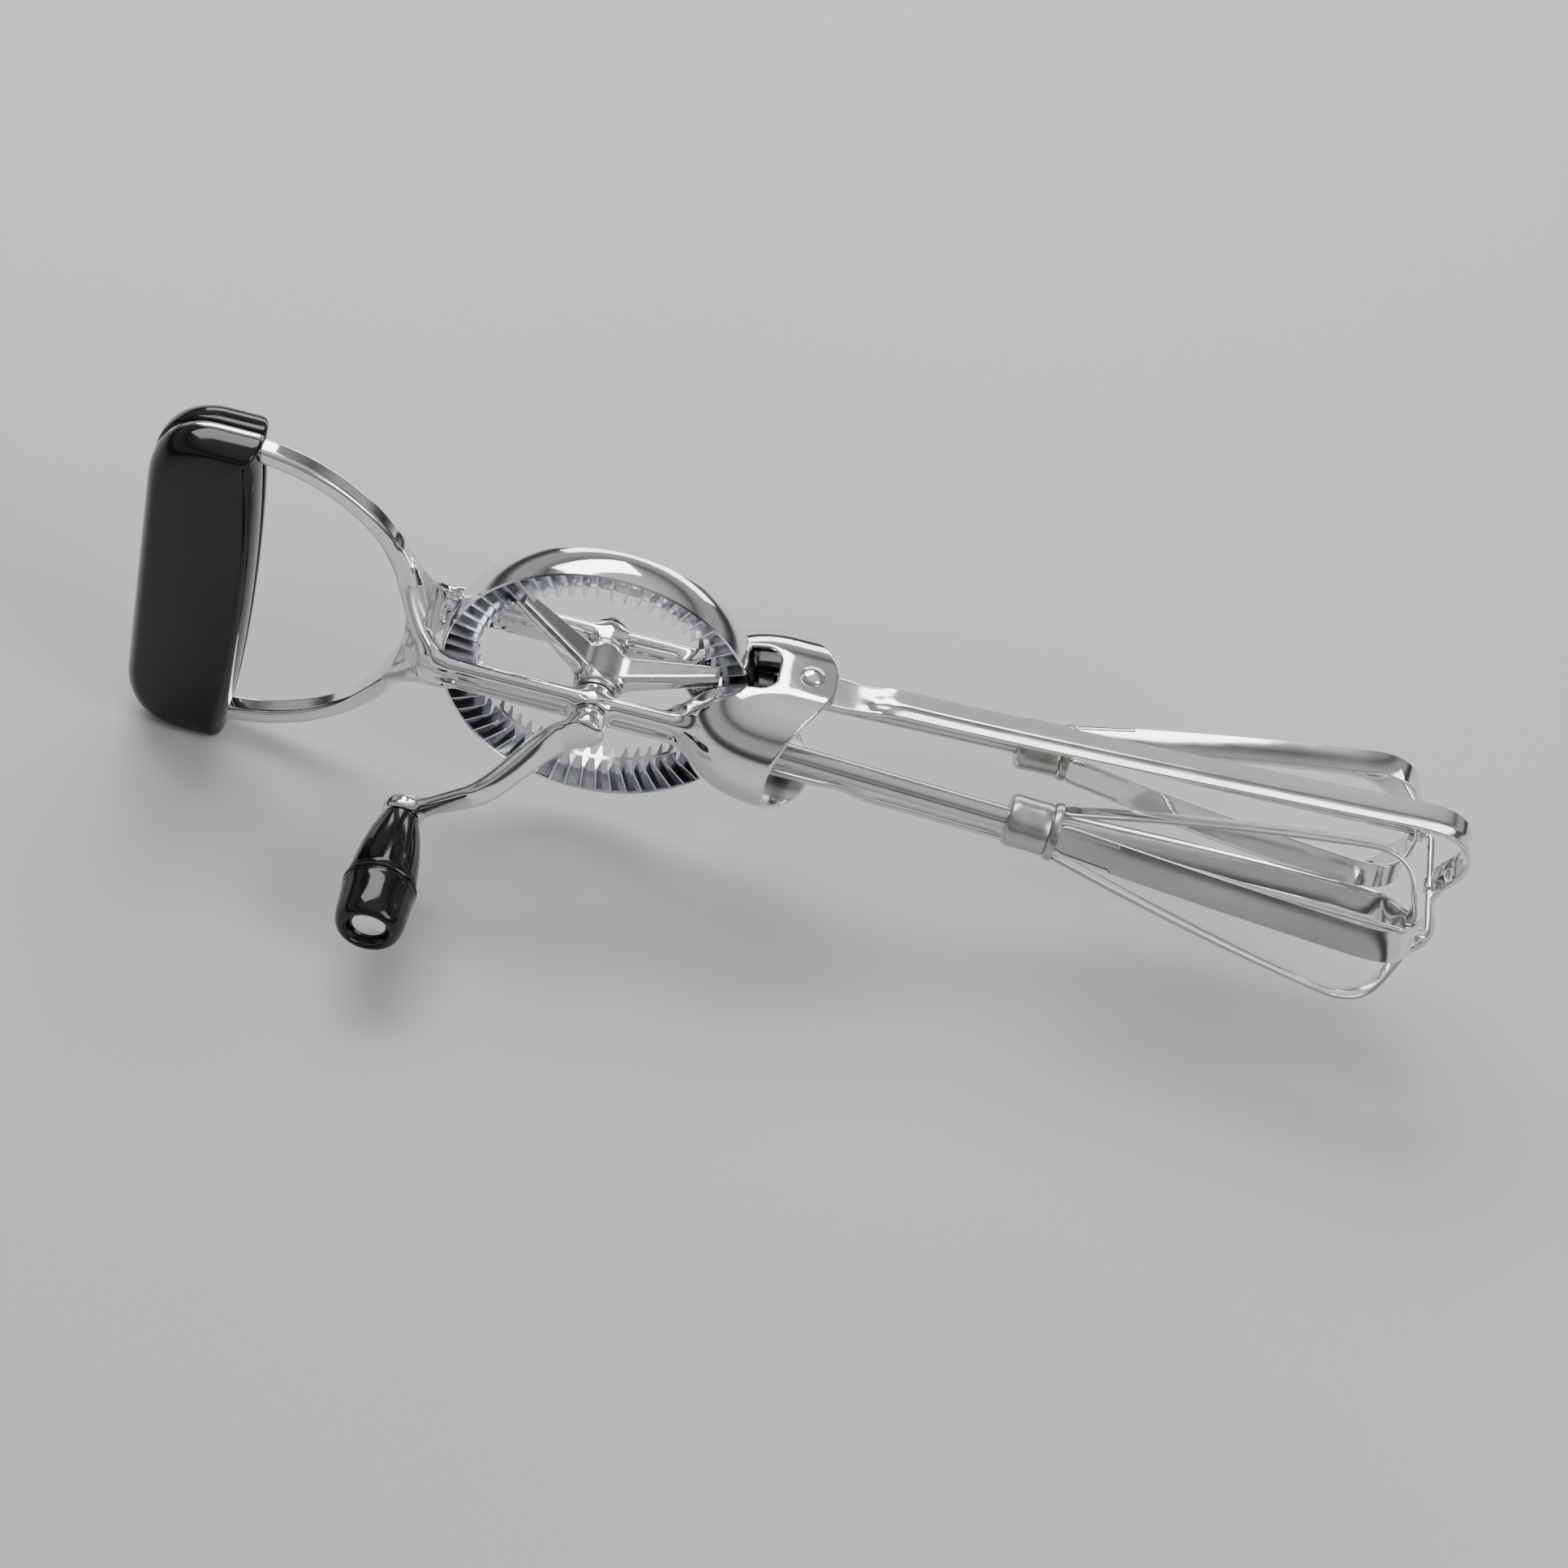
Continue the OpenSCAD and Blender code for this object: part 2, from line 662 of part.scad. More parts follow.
// legs of the clip, which pass through the strap above and below the wire
module clip_legs() {
    for (s = [-1, 1]) translate([wire_base, -clip_half, s * (wire_r + clip_t / 2) - clip_t / 2])
        cube([wire_r + strap_t + clip_t, 2 * clip_half, clip_t]);
}

// staple that holds the wire against the strap's dip
module wire_clip() {
    color("gainsboro") difference() {
        union() {
            translate([wire_base, 0, 0]) rod_y(wire_r + clip_t, -clip_half, clip_half);
            translate([wire_base + wire_r + strap_t, -clip_half, -wire_r - clip_t])
                cube([clip_t, 2 * clip_half, 2 * (wire_r + clip_t)]);
            clip_legs();
        }
        translate([wire_base, 0, 0]) rod_y(wire_r + 0.03, -5, 5);
        strap_band();
    }
}

// ---- placing ----

module placed() { translate(origin_shift) children(); }

placed() frame_casting();
placed() grip_front_shell();
placed() grip_back_shell();
placed() grip_screws();
placed() axle_bush_front();
placed() axle_bush_back();
placed() bearing_plate();
placed() strap();
placed() strap_rivet_upper();
placed() strap_rivet_lower();
placed() centre_wire();
placed() wire_clip();
placed() main_gear();
placed() axle();
placed() gear_pin();
placed() crank_arm();
placed() thrust_washer_front();
placed() thrust_washer_back();
placed() knob_pin();
placed() crank_knob();
placed() shaft_tube_front();
placed() pinion_front();
placed() collar_front();
placed() blade_bow_front_a();
placed() blade_bow_front_b();
placed() tip_bush_front();
placed() shaft_tube_back();
placed() pinion_back();
placed() collar_back();
placed() blade_bow_back_a();
placed() blade_bow_back_b();
placed() tip_bush_back();
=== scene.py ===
"""Looks for the hand-crank egg beater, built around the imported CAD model.

Shapes are written in the tool's own frame, in millimetres about the centre of the main gear:
+X runs to the beaters, the crank is on the -Y side and +Z is up. place() turns them into the row
frame. Each piece has its own function, and replaces the plain CAD node that it stands for.
"""
import json
import math

import bmesh
import bpy
import numpy as np
from mathutils import Matrix, Vector


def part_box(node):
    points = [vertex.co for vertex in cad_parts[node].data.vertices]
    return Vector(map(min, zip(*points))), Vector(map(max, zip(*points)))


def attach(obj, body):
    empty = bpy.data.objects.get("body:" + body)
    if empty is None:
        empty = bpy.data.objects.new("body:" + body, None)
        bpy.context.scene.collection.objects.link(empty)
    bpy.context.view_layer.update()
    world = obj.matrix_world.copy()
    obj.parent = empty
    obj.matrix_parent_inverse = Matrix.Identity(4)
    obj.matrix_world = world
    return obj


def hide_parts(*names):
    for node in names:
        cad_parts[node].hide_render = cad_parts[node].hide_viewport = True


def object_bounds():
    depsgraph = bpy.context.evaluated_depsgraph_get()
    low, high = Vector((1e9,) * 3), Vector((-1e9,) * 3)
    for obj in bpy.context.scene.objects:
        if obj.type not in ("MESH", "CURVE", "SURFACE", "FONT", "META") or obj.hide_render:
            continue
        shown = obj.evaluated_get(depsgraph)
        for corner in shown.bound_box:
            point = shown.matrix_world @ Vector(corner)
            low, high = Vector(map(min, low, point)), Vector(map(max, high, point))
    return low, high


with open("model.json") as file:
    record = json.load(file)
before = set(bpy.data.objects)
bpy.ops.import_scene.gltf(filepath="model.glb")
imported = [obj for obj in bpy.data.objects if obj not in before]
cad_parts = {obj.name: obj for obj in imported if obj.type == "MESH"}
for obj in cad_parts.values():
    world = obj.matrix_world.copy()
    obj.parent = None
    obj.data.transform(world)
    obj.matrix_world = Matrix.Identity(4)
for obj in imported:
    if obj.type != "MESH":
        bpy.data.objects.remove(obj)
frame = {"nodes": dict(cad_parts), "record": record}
cad_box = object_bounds()

MM = 0.001
TINY = 1e-6
FAR = 1e3  # a distance that stands for not worked out
gear_low, gear_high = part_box("main_gear")
CENTRE = np.array((gear_low + gear_high) / 2)

# driving sizes of the tool, as in the CAD model
AXIS_Y = 7.65
SPLAY = math.radians(2.37)
GEAR_R = 36.0
RIM_HALF = 4.25
TEETH = 60
CRANK_LEN = 44.8
CRANK_ANGLE = math.radians(218.7)
LOOP_X = -85.0
LOOP_R = 42.6
BELL_R = 16.6
BELL_Y = 4.6
BELL_TIP = 51.5
BELL_TOP = 17.5
RIVET_X = 45.7
STRAP_END = 199.0
GRIP_OUTER = 104.6
GRIP_LEN = 94.0
GRIP_DEPTH = 23.5
TUBE_R = 2.7
COLLAR_U = (95.4, 107.2)
BLADE_R = 19.6
BLADE_W = 7.2
BLADE_T = 0.8
TIP_U = 190.6
WIRE_R = 0.9
WIRE_BASE = 193.2
SIDES = {-1: "front", 1: "back"}
FRONT_PHASE = 34.0
BACK_PHASE = 85.0


# ---- small maths ----

def place(points):
    """Tool-frame millimetres to row-frame metres."""
    return np.asarray(points, float) * MM + CENTRE


def bezier(a, b, c, d, n):
    t = np.linspace(0, 1, n + 1)[:, None]
    a, b, c, d = (np.array(p, float) for p in (a, b, c, d))
    return a * (1 - t) ** 3 + 3 * b * t * (1 - t) ** 2 + 3 * c * t * t * (1 - t) + d * t**3


def chain(*curves):
    """Curves end to end, each one's first point left out after the first."""
    parts = [np.asarray(curves[0], float)]
    parts += [np.asarray(c, float)[1:] for c in curves[1:]]
    return np.vstack(parts)


def evenly(points, step):
    """The same path with points about one step apart."""
    points = np.asarray(points, float)
    lengths = lengths_along(points)
    count = max(2, int(round(lengths[-1] / step)) + 1)
    at = np.linspace(0, lengths[-1], count)
    return np.column_stack([np.interp(at, lengths, points[:, k]) for k in range(points.shape[1])])


def smoothstep(x, low, high):
    t = np.clip((x - low) / (high - low), 0, 1)
    return t * t * (3 - 2 * t)


def on_beater(points, side, turn=0.0):
    """Points in a beater's own frame, [along, across, up], turned about its axis and splayed."""
    p = np.asarray(points, float)
    c, s = math.cos(math.radians(turn)), math.sin(math.radians(turn))
    x, y, z = p[:, 0], p[:, 1] * c - p[:, 2] * s, p[:, 1] * s + p[:, 2] * c
    c, s = math.cos(side * SPLAY), math.sin(side * SPLAY)
    return np.column_stack([x * c - y * s, x * s + y * c + side * AXIS_Y, z])


# ---- mesh building ----

class Shape:
    """Vertices and faces collected from several closed shells. normals is set only where a distance
    field gives exact ones for every vertex."""

    def __init__(self, verts=(), faces=(), normals=None):
        self.verts, self.faces, self.normals, self.count = [], [], normals, 0
        if len(verts):
            self.add(verts, faces)

    def add(self, verts, faces):
        self.verts.append(np.asarray(verts, float))
        self.faces += [tuple(int(i) + self.count for i in f) for f in faces]
        self.count += len(verts)


def lathe(profile, segments):
    """A closed solid turned about the X axis from [along, radius] points. A profile whose ends aren't
    both on the axis is joined end to end, as a ring."""
    profile = np.asarray(profile, float)
    angles = np.arange(segments) * 2 * math.pi / segments
    verts, rings = [], []
    for x, r in profile:
        if r < TINY:
            rings.append([len(verts)] * segments)
            verts.append((x, 0, 0))
        else:
            rings.append(list(range(len(verts), len(verts) + segments)))
            verts += [(x, r * math.cos(a), r * math.sin(a)) for a in angles]
    closed = profile[0][1] > TINY and profile[-1][1] > TINY
    pairs = list(zip(rings, rings[1:])) + ([(rings[-1], rings[0])] if closed else [])
    faces = []
    for one, two in pairs:
        for i in range(segments):
            j = (i + 1) % segments
            face = list(dict.fromkeys([one[i], one[j], two[j], two[i]]))
            if len(face) > 2:
                faces.append(face)
    return np.array(verts), faces


def along_y(points):
    """Turns a shape made about X so that its axis points to -Y."""
    p = np.asarray(points, float)
    return np.column_stack([p[:, 1], -p[:, 0], p[:, 2]])


def loft(rings):
    """A skin over rings of equal length, closed at both ends."""
    n, count = len(rings[0]), len(rings)
    faces = []
    for a in range(0, (count - 1) * n, n):
        faces += [(a + i, a + (i + 1) % n, a + n + (i + 1) % n, a + n + i) for i in range(n)]
    faces.append(tuple(range(n - 1, -1, -1)))
    faces.append(tuple(range((count - 1) * n, count * n)))
    return np.vstack(rings), faces


def tangents_of(points):
    tangents = np.gradient(points, axis=0)
    return tangents / np.linalg.norm(tangents, axis=1)[:, None]


def tube(points, radius, sides):
    """A round wire along a path in three dimensions."""
    tangents = tangents_of(points)
    normal = np.cross(tangents[0], (0, 0, 1.0))
    normal /= np.linalg.norm(normal)
    rings = []
    angles = np.arange(sides) * 2 * math.pi / sides
    for p, t in zip(points, tangents):
        normal = normal - t * (normal @ t)
        normal /= np.linalg.norm(normal)
        other = np.cross(t, normal)
        around = np.cos(angles)[:, None] * normal + np.sin(angles)[:, None] * other
        rings.append(p + radius * around)
    return loft(rings)


def lengths_along(path):
    return np.r_[0, np.cumsum(np.linalg.norm(np.diff(path, axis=0), axis=1))]


def strip(path, half_width, thickness, crown, edge, across):
    """A bent metal strip. path is [x, h] in its side view. half_width(run, point) gives its half width
    at a distance along the path, and crown(point, y) lifts its outer face, which is on the left of
    the path, y going from -1 to 1 across the strip."""
    tangent = tangents_of(path)
    normal = np.column_stack([-tangent[:, 1], tangent[:, 0]])
    rings = []
    for run, p, n in zip(lengths_along(path), path, normal):
        w = half_width(run, p)
        ys = np.linspace(-w + edge, w - edge, across)
        lift = crown(p, ys / w)
        outer = [(y, thickness + h) for y, h in zip(ys, lift)]
        inner = [(y, h) for y, h in zip(ys[::-1], lift[::-1])]
        right = [(w, thickness - edge + lift[-1]), (w, edge + lift[-1])]
        left = [(-w, edge + lift[0]), (-w, thickness - edge + lift[0])]
        y, h = np.array(outer + right + inner + left).T
        rings.append(np.column_stack([p[0] + n[0] * h, y, p[1] + n[1] * h]))
    return loft(rings)


# ---- distance fields, for cast shapes with fillets ----

def smin(a, b, k):
    h = np.maximum(k - np.abs(a - b), 0) / k
    return np.minimum(a, b) - h * h * k / 4


def smax(a, b, k):
    return -smin(-a, -b, k)


def capsule(p, a, b, r):
    """A rod with round ends."""
    a, b = np.array(a, float), np.array(b, float)
    ab = b - a
    t = np.clip((p - a) @ ab / (ab @ ab), 0, 1)
    return np.linalg.norm(p - a - t[:, None] * ab, axis=1) - r


def curved_rod(p, points, r):
    """A rod along a path."""
    best = np.full(len(p), FAR)
    for a, b in zip(points, points[1:]):
        best = np.minimum(best, capsule(p, a, b, r))
    return best


def rounded(past, r):
    """Rounds the corners of a field, from how far each coordinate is past the start of its rounding."""
    return np.linalg.norm(np.maximum(past, 0), axis=1) + np.minimum(past.max(axis=1), 0) - r


def block(p, low, high, r):
    """A box with rounded edges."""
    low, high = np.array(low, float), np.array(high, float)
    return rounded(np.abs(p - (low + high) / 2) - (high - low) / 2 + r, r)


def rod_y(p, r, y0, y1, edge, x=0.0):
    """A rod along Y with rounded edges."""
    past = np.column_stack([np.hypot(p[:, 0] - x, p[:, 2]) - r + edge,
                            np.abs(p[:, 1] - (y0 + y1) / 2) - (y1 - y0) / 2 + edge])
    return rounded(past, edge)


def field_mesh(distance, low, high, step):
    """Surface nets over a distance field, with each vertex moved onto the surface. Only the cells near
    the surface are worked out. Returns vertices, faces and normals."""
    low, high = np.array(low, float), np.array(high, float)
    size = np.ceil((high - low) / step).astype(int) + 1
    axes = [low[k] + step * np.arange(size[k]) for k in range(3)]
    coarse = 4  # fine steps in a coarse one
    reach = 1.6 * step * coarse
    batch = 400000
    picks = [a[::coarse] for a in axes]
    grid = np.stack(np.meshgrid(*picks, indexing="ij"), -1).reshape(-1, 3)
    near = np.abs(distance(grid + step * (coarse - 1) / 2)) < reach
    near = near.reshape([len(a) for a in picks])
    values = np.full(size, FAR, np.float32)
    fine = near.repeat(coarse, 0).repeat(coarse, 1).repeat(coarse, 2)[: size[0], : size[1], : size[2]]
    index = np.argwhere(fine)
    for start in range(0, len(index), batch):
        part = index[start : start + batch]
        values[tuple(part.T)] = distance(low + step * part)
    known = values < FAR
    inside = values < 0
    cells = np.zeros(size - 1, np.int8)
    valid = np.ones(size - 1, bool)
    for dx in (0, 1):
        for dy in (0, 1):
            for dz in (0, 1):
                at = (slice(dx, size[0] - 1 + dx), slice(dy, size[1] - 1 + dy), slice(dz, size[2] - 1 + dz))
                cells += inside[at]
                valid &= known[at]
    active = (cells > 0) & (cells < 8) & valid
    number = np.full(active.shape, -1)
    where = np.argwhere(active)
    number[tuple(where.T)] = np.arange(len(where))
    verts = low + step * (where + 0.5)
    faces = []
    for axis in range(3):
        u, v = (axis + 1) % 3, (axis + 2) % 3
        ahead = [slice(None)] * 3
        behind = [slice(None)] * 3
        ahead[axis], behind[axis] = slice(1, None), slice(None, -1)
        change = inside[tuple(ahead)] != inside[tuple(behind)]
        spots = np.argwhere(change & known[tuple(ahead)] & known[tuple(behind)])
        spots = spots[(spots[:, u] > 0) & (spots[:, v] > 0)]
        spots = spots[(spots[:, u] < active.shape[u]) & (spots[:, v] < active.shape[v])]
        corners = []
        for du, dv in ((0, 0), (-1, 0), (-1, -1), (0, -1)):
            c = spots.copy()
            c[:, u] += du
            c[:, v] += dv
            corners.append(number[tuple(c.T)])
        quads = np.column_stack(corners)
        flip = ~inside[tuple(spots.T)]
        quads[flip] = quads[flip][:, ::-1]
        faces.append(quads[(quads >= 0).all(axis=1)])
    faces = np.vstack(faces)

    def gradient(p, h=0.05):
        g = np.empty_like(p)
        for k in range(3):
            off = np.zeros(3)
            off[k] = h
            g[:, k] = distance(p + off) - distance(p - off)
        return g / (2 * h)

    # relaxed towards the neighbours, then back onto the surface
    pull, least_slope = 0.6, 0.2
    edges = np.vstack([faces[:, [0, 1]], faces[:, [1, 2]], faces[:, [2, 3]], faces[:, [3, 0]]])
    for _ in range(3):
        total = np.zeros_like(verts)
        weight = np.zeros(len(verts))
        for a, b in ((0, 1), (1, 0)):
            np.add.at(total, edges[:, a], verts[edges[:, b]])
            np.add.at(weight, edges[:, a], 1)
        weight = np.maximum(weight, 1)
        verts = verts * (1 - pull) + pull * total / weight[:, None]
        g = gradient(verts)
        length = np.maximum(np.einsum("ij,ij->i", g, g), least_slope)
        verts = verts - g * (np.clip(distance(verts), -step, step) / length)[:, None]
    g = gradient(verts)
    g /= np.maximum(np.linalg.norm(g, axis=1), TINY)[:, None]
    return verts, faces, g


# ---- materials ----

def node_material(name):
    mat = bpy.data.materials.new(name)
    mat.use_nodes = True
    tree = mat.node_tree
    shader = tree.nodes["Principled BSDF"]
    coords = tree.nodes.new("ShaderNodeTexCoord")
    return mat, tree, shader, coords


def noise(tree, coords, scale, detail, stretch=(1, 1, 1)):
    """Noise in object space; scale is in features per metre."""
    mapping = tree.nodes.new("ShaderNodeMapping")
    mapping.inputs["Scale"].default_value = stretch
    tree.links.new(coords.outputs["Object"], mapping.inputs["Vector"])
    texture = tree.nodes.new("ShaderNodeTexNoise")
    texture.inputs["Scale"].default_value = scale
    texture.inputs["Detail"].default_value = detail
    tree.links.new(mapping.outputs["Vector"], texture.inputs["Vector"])
    return texture.outputs["Fac"]


def ranged(tree, value, low, high, start=0.3, end=0.7):
    node = tree.nodes.new("ShaderNodeMapRange")
    node.inputs["From Min"].default_value = start
    node.inputs["From Max"].default_value = end
    node.inputs["To Min"].default_value = low
    node.inputs["To Max"].default_value = high
    tree.links.new(value, node.inputs["Value"])
    return node.outputs["Result"]


def tinted(tree, shader, value, dark, light):
    ramp = tree.nodes.new("ShaderNodeValToRGB")
    ramp.color_ramp.elements[0].position = 0.3
    ramp.color_ramp.elements[0].color = (*dark, 1)
    ramp.color_ramp.elements[1].position = 0.7
    ramp.color_ramp.elements[1].color = (*light, 1)
    tree.links.new(value, ramp.inputs["Fac"])
    tree.links.new(ramp.outputs["Color"], shader.inputs["Base Color"])


def bumped(tree, shader, layers):
    """layers are (value, height in metres) pairs, one bump node after another."""
    normal = None
    for value, height in layers:
        bump = tree.nodes.new("ShaderNodeBump")
        bump.inputs["Distance"].default_value = height
        bump.inputs["Strength"].default_value = 1.0
        tree.links.new(value, bump.inputs["Height"])
        if normal:
            tree.links.new(normal, bump.inputs["Normal"])
        normal = bump.outputs["Normal"]
    tree.links.new(normal, shader.inputs["Normal"])


def from_centre(tree, coords, scale):
    """Distance in metres from the gear's centre, with each axis scaled."""
    mapping = tree.nodes.new("ShaderNodeMapping")
    mapping.inputs["Location"].default_value = [-c * k for c, k in zip(CENTRE, scale)]
    mapping.inputs["Scale"].default_value = scale
    tree.links.new(coords.outputs["Object"], mapping.inputs["Vector"])
    length = tree.nodes.new("ShaderNodeVectorMath")
    length.operation = "LENGTH"
    tree.links.new(mapping.outputs["Vector"], length.inputs[0])
    return length.outputs["Value"]


def math_node(tree, operation, one, two):
    node = tree.nodes.new("ShaderNodeMath")
    node.operation = operation
    tree.links.new(one, node.inputs[0])
    tree.links.new(two, node.inputs[1])
    return node.outputs["Value"]


def inside_rim(tree, coords):
    """Added roughness of the gear's fins and spokes, which are less polished than its rim."""
    return ranged(tree, from_centre(tree, coords, (1, 0, 1)), 0.05, 0.0, 34.9 * MM, 35.3 * MM)


def inside_mouth(tree, coords):
    """Added roughness of the housing's inside near its mouth, which is left as cast."""
    oblong = from_centre(tree, coords, (0, BELL_R / (BELL_R + BELL_Y), 1))
    within = ranged(tree, oblong, 0.30, 0.0, (BELL_R - 0.3) * MM, (BELL_R - 0.1) * MM)
    ahead = ranged(tree, from_centre(tree, coords, (1, 0, 0)), 0.0, 1.0, 39 * MM, 41 * MM)
    return math_node(tree, "MULTIPLY", within, ahead)


def metal(name, dark, light, rough, waviness, grain, stretch=(1, 1, 1), duller=None):
    """Bright metal: a slow waviness in its surface, fine lines or specks, and uneven polish.
    waviness is in metres, grain is (features per metre, height in metres), stretch draws the grain
    out into lines, and duller adds roughness to a part of the surface."""
    mat, tree, shader, coords = node_material(name)
    shader.inputs["Metallic"].default_value = 1.0
    polish = noise(tree, coords, 70, 4)
    tinted(tree, shader, noise(tree, coords, 180, 5, stretch), dark, light)
    rough_value = ranged(tree, polish, *rough)
    if duller:
        rough_value = math_node(tree, "ADD", rough_value, duller(tree, coords))
    tree.links.new(rough_value, shader.inputs["Roughness"])
    density, height = grain
    bumped(tree, shader, [(noise(tree, coords, 45, 2), waviness),
                          (noise(tree, coords, density, 3, stretch), height)])
    return mat


def plastic(name):
    """Glossy black moulded plastic, with faint moulding ripple and fine handling marks."""
    mat, tree, shader, coords = node_material(name)
    shader.inputs["Coat Weight"].default_value = 0.15
    shader.inputs["Coat Roughness"].default_value = 0.05
    shader.inputs["Specular IOR Level"].default_value = 0.3
    tinted(tree, shader, noise(tree, coords, 60, 4), (0.003, 0.003, 0.0035), (0.006, 0.006, 0.007))
    rough = ranged(tree, noise(tree, coords, 220, 6), 0.07, 0.16)
    tree.links.new(rough, shader.inputs["Roughness"])
    bumped(tree, shader, [(noise(tree, coords, 35, 2), 0.00010), (noise(tree, coords, 900, 3), 0.000006)])
    return mat


MATERIALS = {
    "chrome_casting": metal("chrome_casting", (0.74, 0.74, 0.75), (0.80, 0.80, 0.81), (0.035, 0.09), 0.00018,
                            (500, 0.000008), duller=inside_mouth),
    "chrome_gear": metal("chrome_gear", (0.70, 0.71, 0.73), (0.79, 0.80, 0.82), (0.05, 0.12), 0.00008,
                         (700, 0.00001), duller=inside_rim),
    "chrome_crank": metal("chrome_crank", (0.76, 0.76, 0.77), (0.82, 0.82, 0.83), (0.03, 0.09), 0.00014,
                          (500, 0.000006)),
    "polished_steel": metal("polished_steel", (0.66, 0.65, 0.64), (0.76, 0.76, 0.75), (0.06, 0.16), 0.00008,
                            (600, 0.000012), (0.06, 1, 1)),
    "blade_steel": metal("blade_steel", (0.66, 0.65, 0.64), (0.77, 0.77, 0.76), (0.06, 0.15), 0.00010,
                         (600, 0.00001), (0.06, 1, 1)),
    "satin_steel": metal("satin_steel", (0.50, 0.49, 0.475), (0.60, 0.59, 0.575), (0.15, 0.26), 0.00003,
                         (900, 0.000014), (0.04, 1, 1)),
    "collar_steel": metal("collar_steel", (0.40, 0.39, 0.375), (0.50, 0.49, 0.475), (0.22, 0.34), 0.00003,
                          (900, 0.000014), (1, 0.05, 0.05)),
    "bright_steel": metal("bright_steel", (0.70, 0.70, 0.70), (0.78, 0.78, 0.78), (0.08, 0.18), 0.00005,
                          (900, 0.000008)),
    "dark_steel": metal("dark_steel", (0.38, 0.38, 0.38), (0.50, 0.50, 0.50), (0.22, 0.38), 0.00008,
                        (1200, 0.00003)),
    "bush_steel": metal("bush_steel", (0.46, 0.46, 0.46), (0.56, 0.56, 0.56), (0.18, 0.30), 0.00004,
                        (900, 0.00001), (1, 0.05, 1)),
    "black_plastic": plastic("black_plastic"),
    "black_plastic_knob": plastic("black_plastic_knob"),
}


def finish_piece(shape, name, body, slot, nodes=(), smooth_angle=40):
    """Makes the object, gives it its material and says what it rides on and what it stands for."""
    mesh = bpy.data.meshes.new(name)
    mesh.from_pydata(place(np.vstack(shape.verts)).tolist(), [], shape.faces)
    mesh.validate()
    outward = bmesh.new()
    outward.from_mesh(mesh)
    bmesh.ops.recalc_face_normals(outward, faces=outward.faces)
    outward.to_mesh(mesh)
    outward.free()
    obj = bpy.data.objects.new(name, mesh)
    bpy.context.scene.collection.objects.link(obj)
    mesh.materials.append(MATERIALS[slot])
    mesh.shade_smooth()
    mesh.set_sharp_from_angle(angle=math.radians(smooth_angle))
    if shape.normals is not None:
        mesh.normals_split_custom_set_from_vertices(shape.normals.tolist())
    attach(obj, body)
    if nodes:
        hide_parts(*nodes)


# ---- frame casting ----

BELL_LINE = chain(bezier((BELL_TOP, 4), (21.5, 5), (22, 16.4), (41, BELL_R), 400), [(60, BELL_R)])
BELL_WALL = 1.3
RIDGE_Y = 10.3
RIDGE_Z = 2.2


def bell_distance(p, inset):
    """The housing's rounded-oblong surface, drawn in by inset."""
    x, y, z = p.T

    def radius(at):
        return np.interp(at, *BELL_LINE.T)

    h = 0.2
    slope = (radius(x + h) - radius(x - h)) / (2 * h)
    spread = np.maximum(np.abs(y) - BELL_Y, 0)
    side = (np.hypot(spread, z) - radius(x)) / np.sqrt(1 + slope**2)
    return smax(side, BELL_TOP - x, 1.0) + inset


def mouth(y):
    """Height of the housing's V-shaped edge at a distance y from the middle plane."""
    curve = bezier((BELL_TIP, 0), (BELL_TIP + 0.5, 7), (46.5, 11), (40.5, 21.5), 16)
    return np.interp(np.abs(y), curve[:, 1], curve[:, 0])


def loop_point(angle):
    """A point on the middle line of the loop, by its angle above the tool's axis in degrees."""
    a = math.radians(angle)
    return np.array((LOOP_X + LOOP_R * math.cos(a), 0, LOOP_R * math.sin(a)))


def loop_distance(outside, a):
    """The loop's flat bar, from the distance outside its middle line and from the middle plane."""
    half_thick, half_wide, edge = 2.0, 2.5, 1.2
    return rounded(np.column_stack([np.abs(outside) - half_thick + edge, a - half_wide + edge]), edge)


def fork_distance(q):
    """The fork: on each side two ribs that part from the loop and sweep onto the rail, with a web
    between them, and a bridge across the loop's end."""
    x, a, z = q.T
    heel, half_web = 9.7, 1.4
    lean_x, lean_a = 0.904, 0.430  # the web's plane slants from the loop's end out to the rail
    nearness = np.clip(1 - a / heel, 0, 1)
    bend = LOOP_R - np.sqrt(np.maximum(LOOP_R**2 - z**2, 1))
    lean = (x - LOOP_X - LOOP_R + bend * nearness) * lean_x - a * lean_a
    half_height = 3 + 19 * nearness**1.5
    web = smax(np.abs(lean) - half_web, np.maximum(np.abs(z) - half_height, a - 10.0), 1.0)
    for end_z in (RIDGE_Z, -2.9):
        out = math.copysign(1, end_z)
        sweep = bezier(loop_point(34 * out), loop_point(19 * out) + (0, 0.8, 0), (-42.4, 9.0, 2.2 * end_z),
                       (-33, RIDGE_Y, end_z), 9)
        web = smin(web, curved_rod(q, sweep, 1.75), 3.0)
    bridge = block(q, (-43.5, -1, -2.8), (-39.8, 8.4, 2.6), 1.3)
    return smin(web, bridge, 2.5)


def rail_distance(q):
    """A side rail: a ridge along its top, a recessed web and a lip below."""
    end, lip_y, lip_z, blend = 24, 10.4, -3.3, 0.8
    web = block(q, (-38, 8.6, -4.0), (end, lip_y, 3.0), 0.8)
    ridge = capsule(q, (-35, RIDGE_Y, RIDGE_Z), (27, RIDGE_Y, RIDGE_Z), 2.0)
    lip = capsule(q, (-34, lip_y, lip_z), (end, lip_y, lip_z), 1.1)
    return smin(smin(web, ridge, blend), lip, blend)


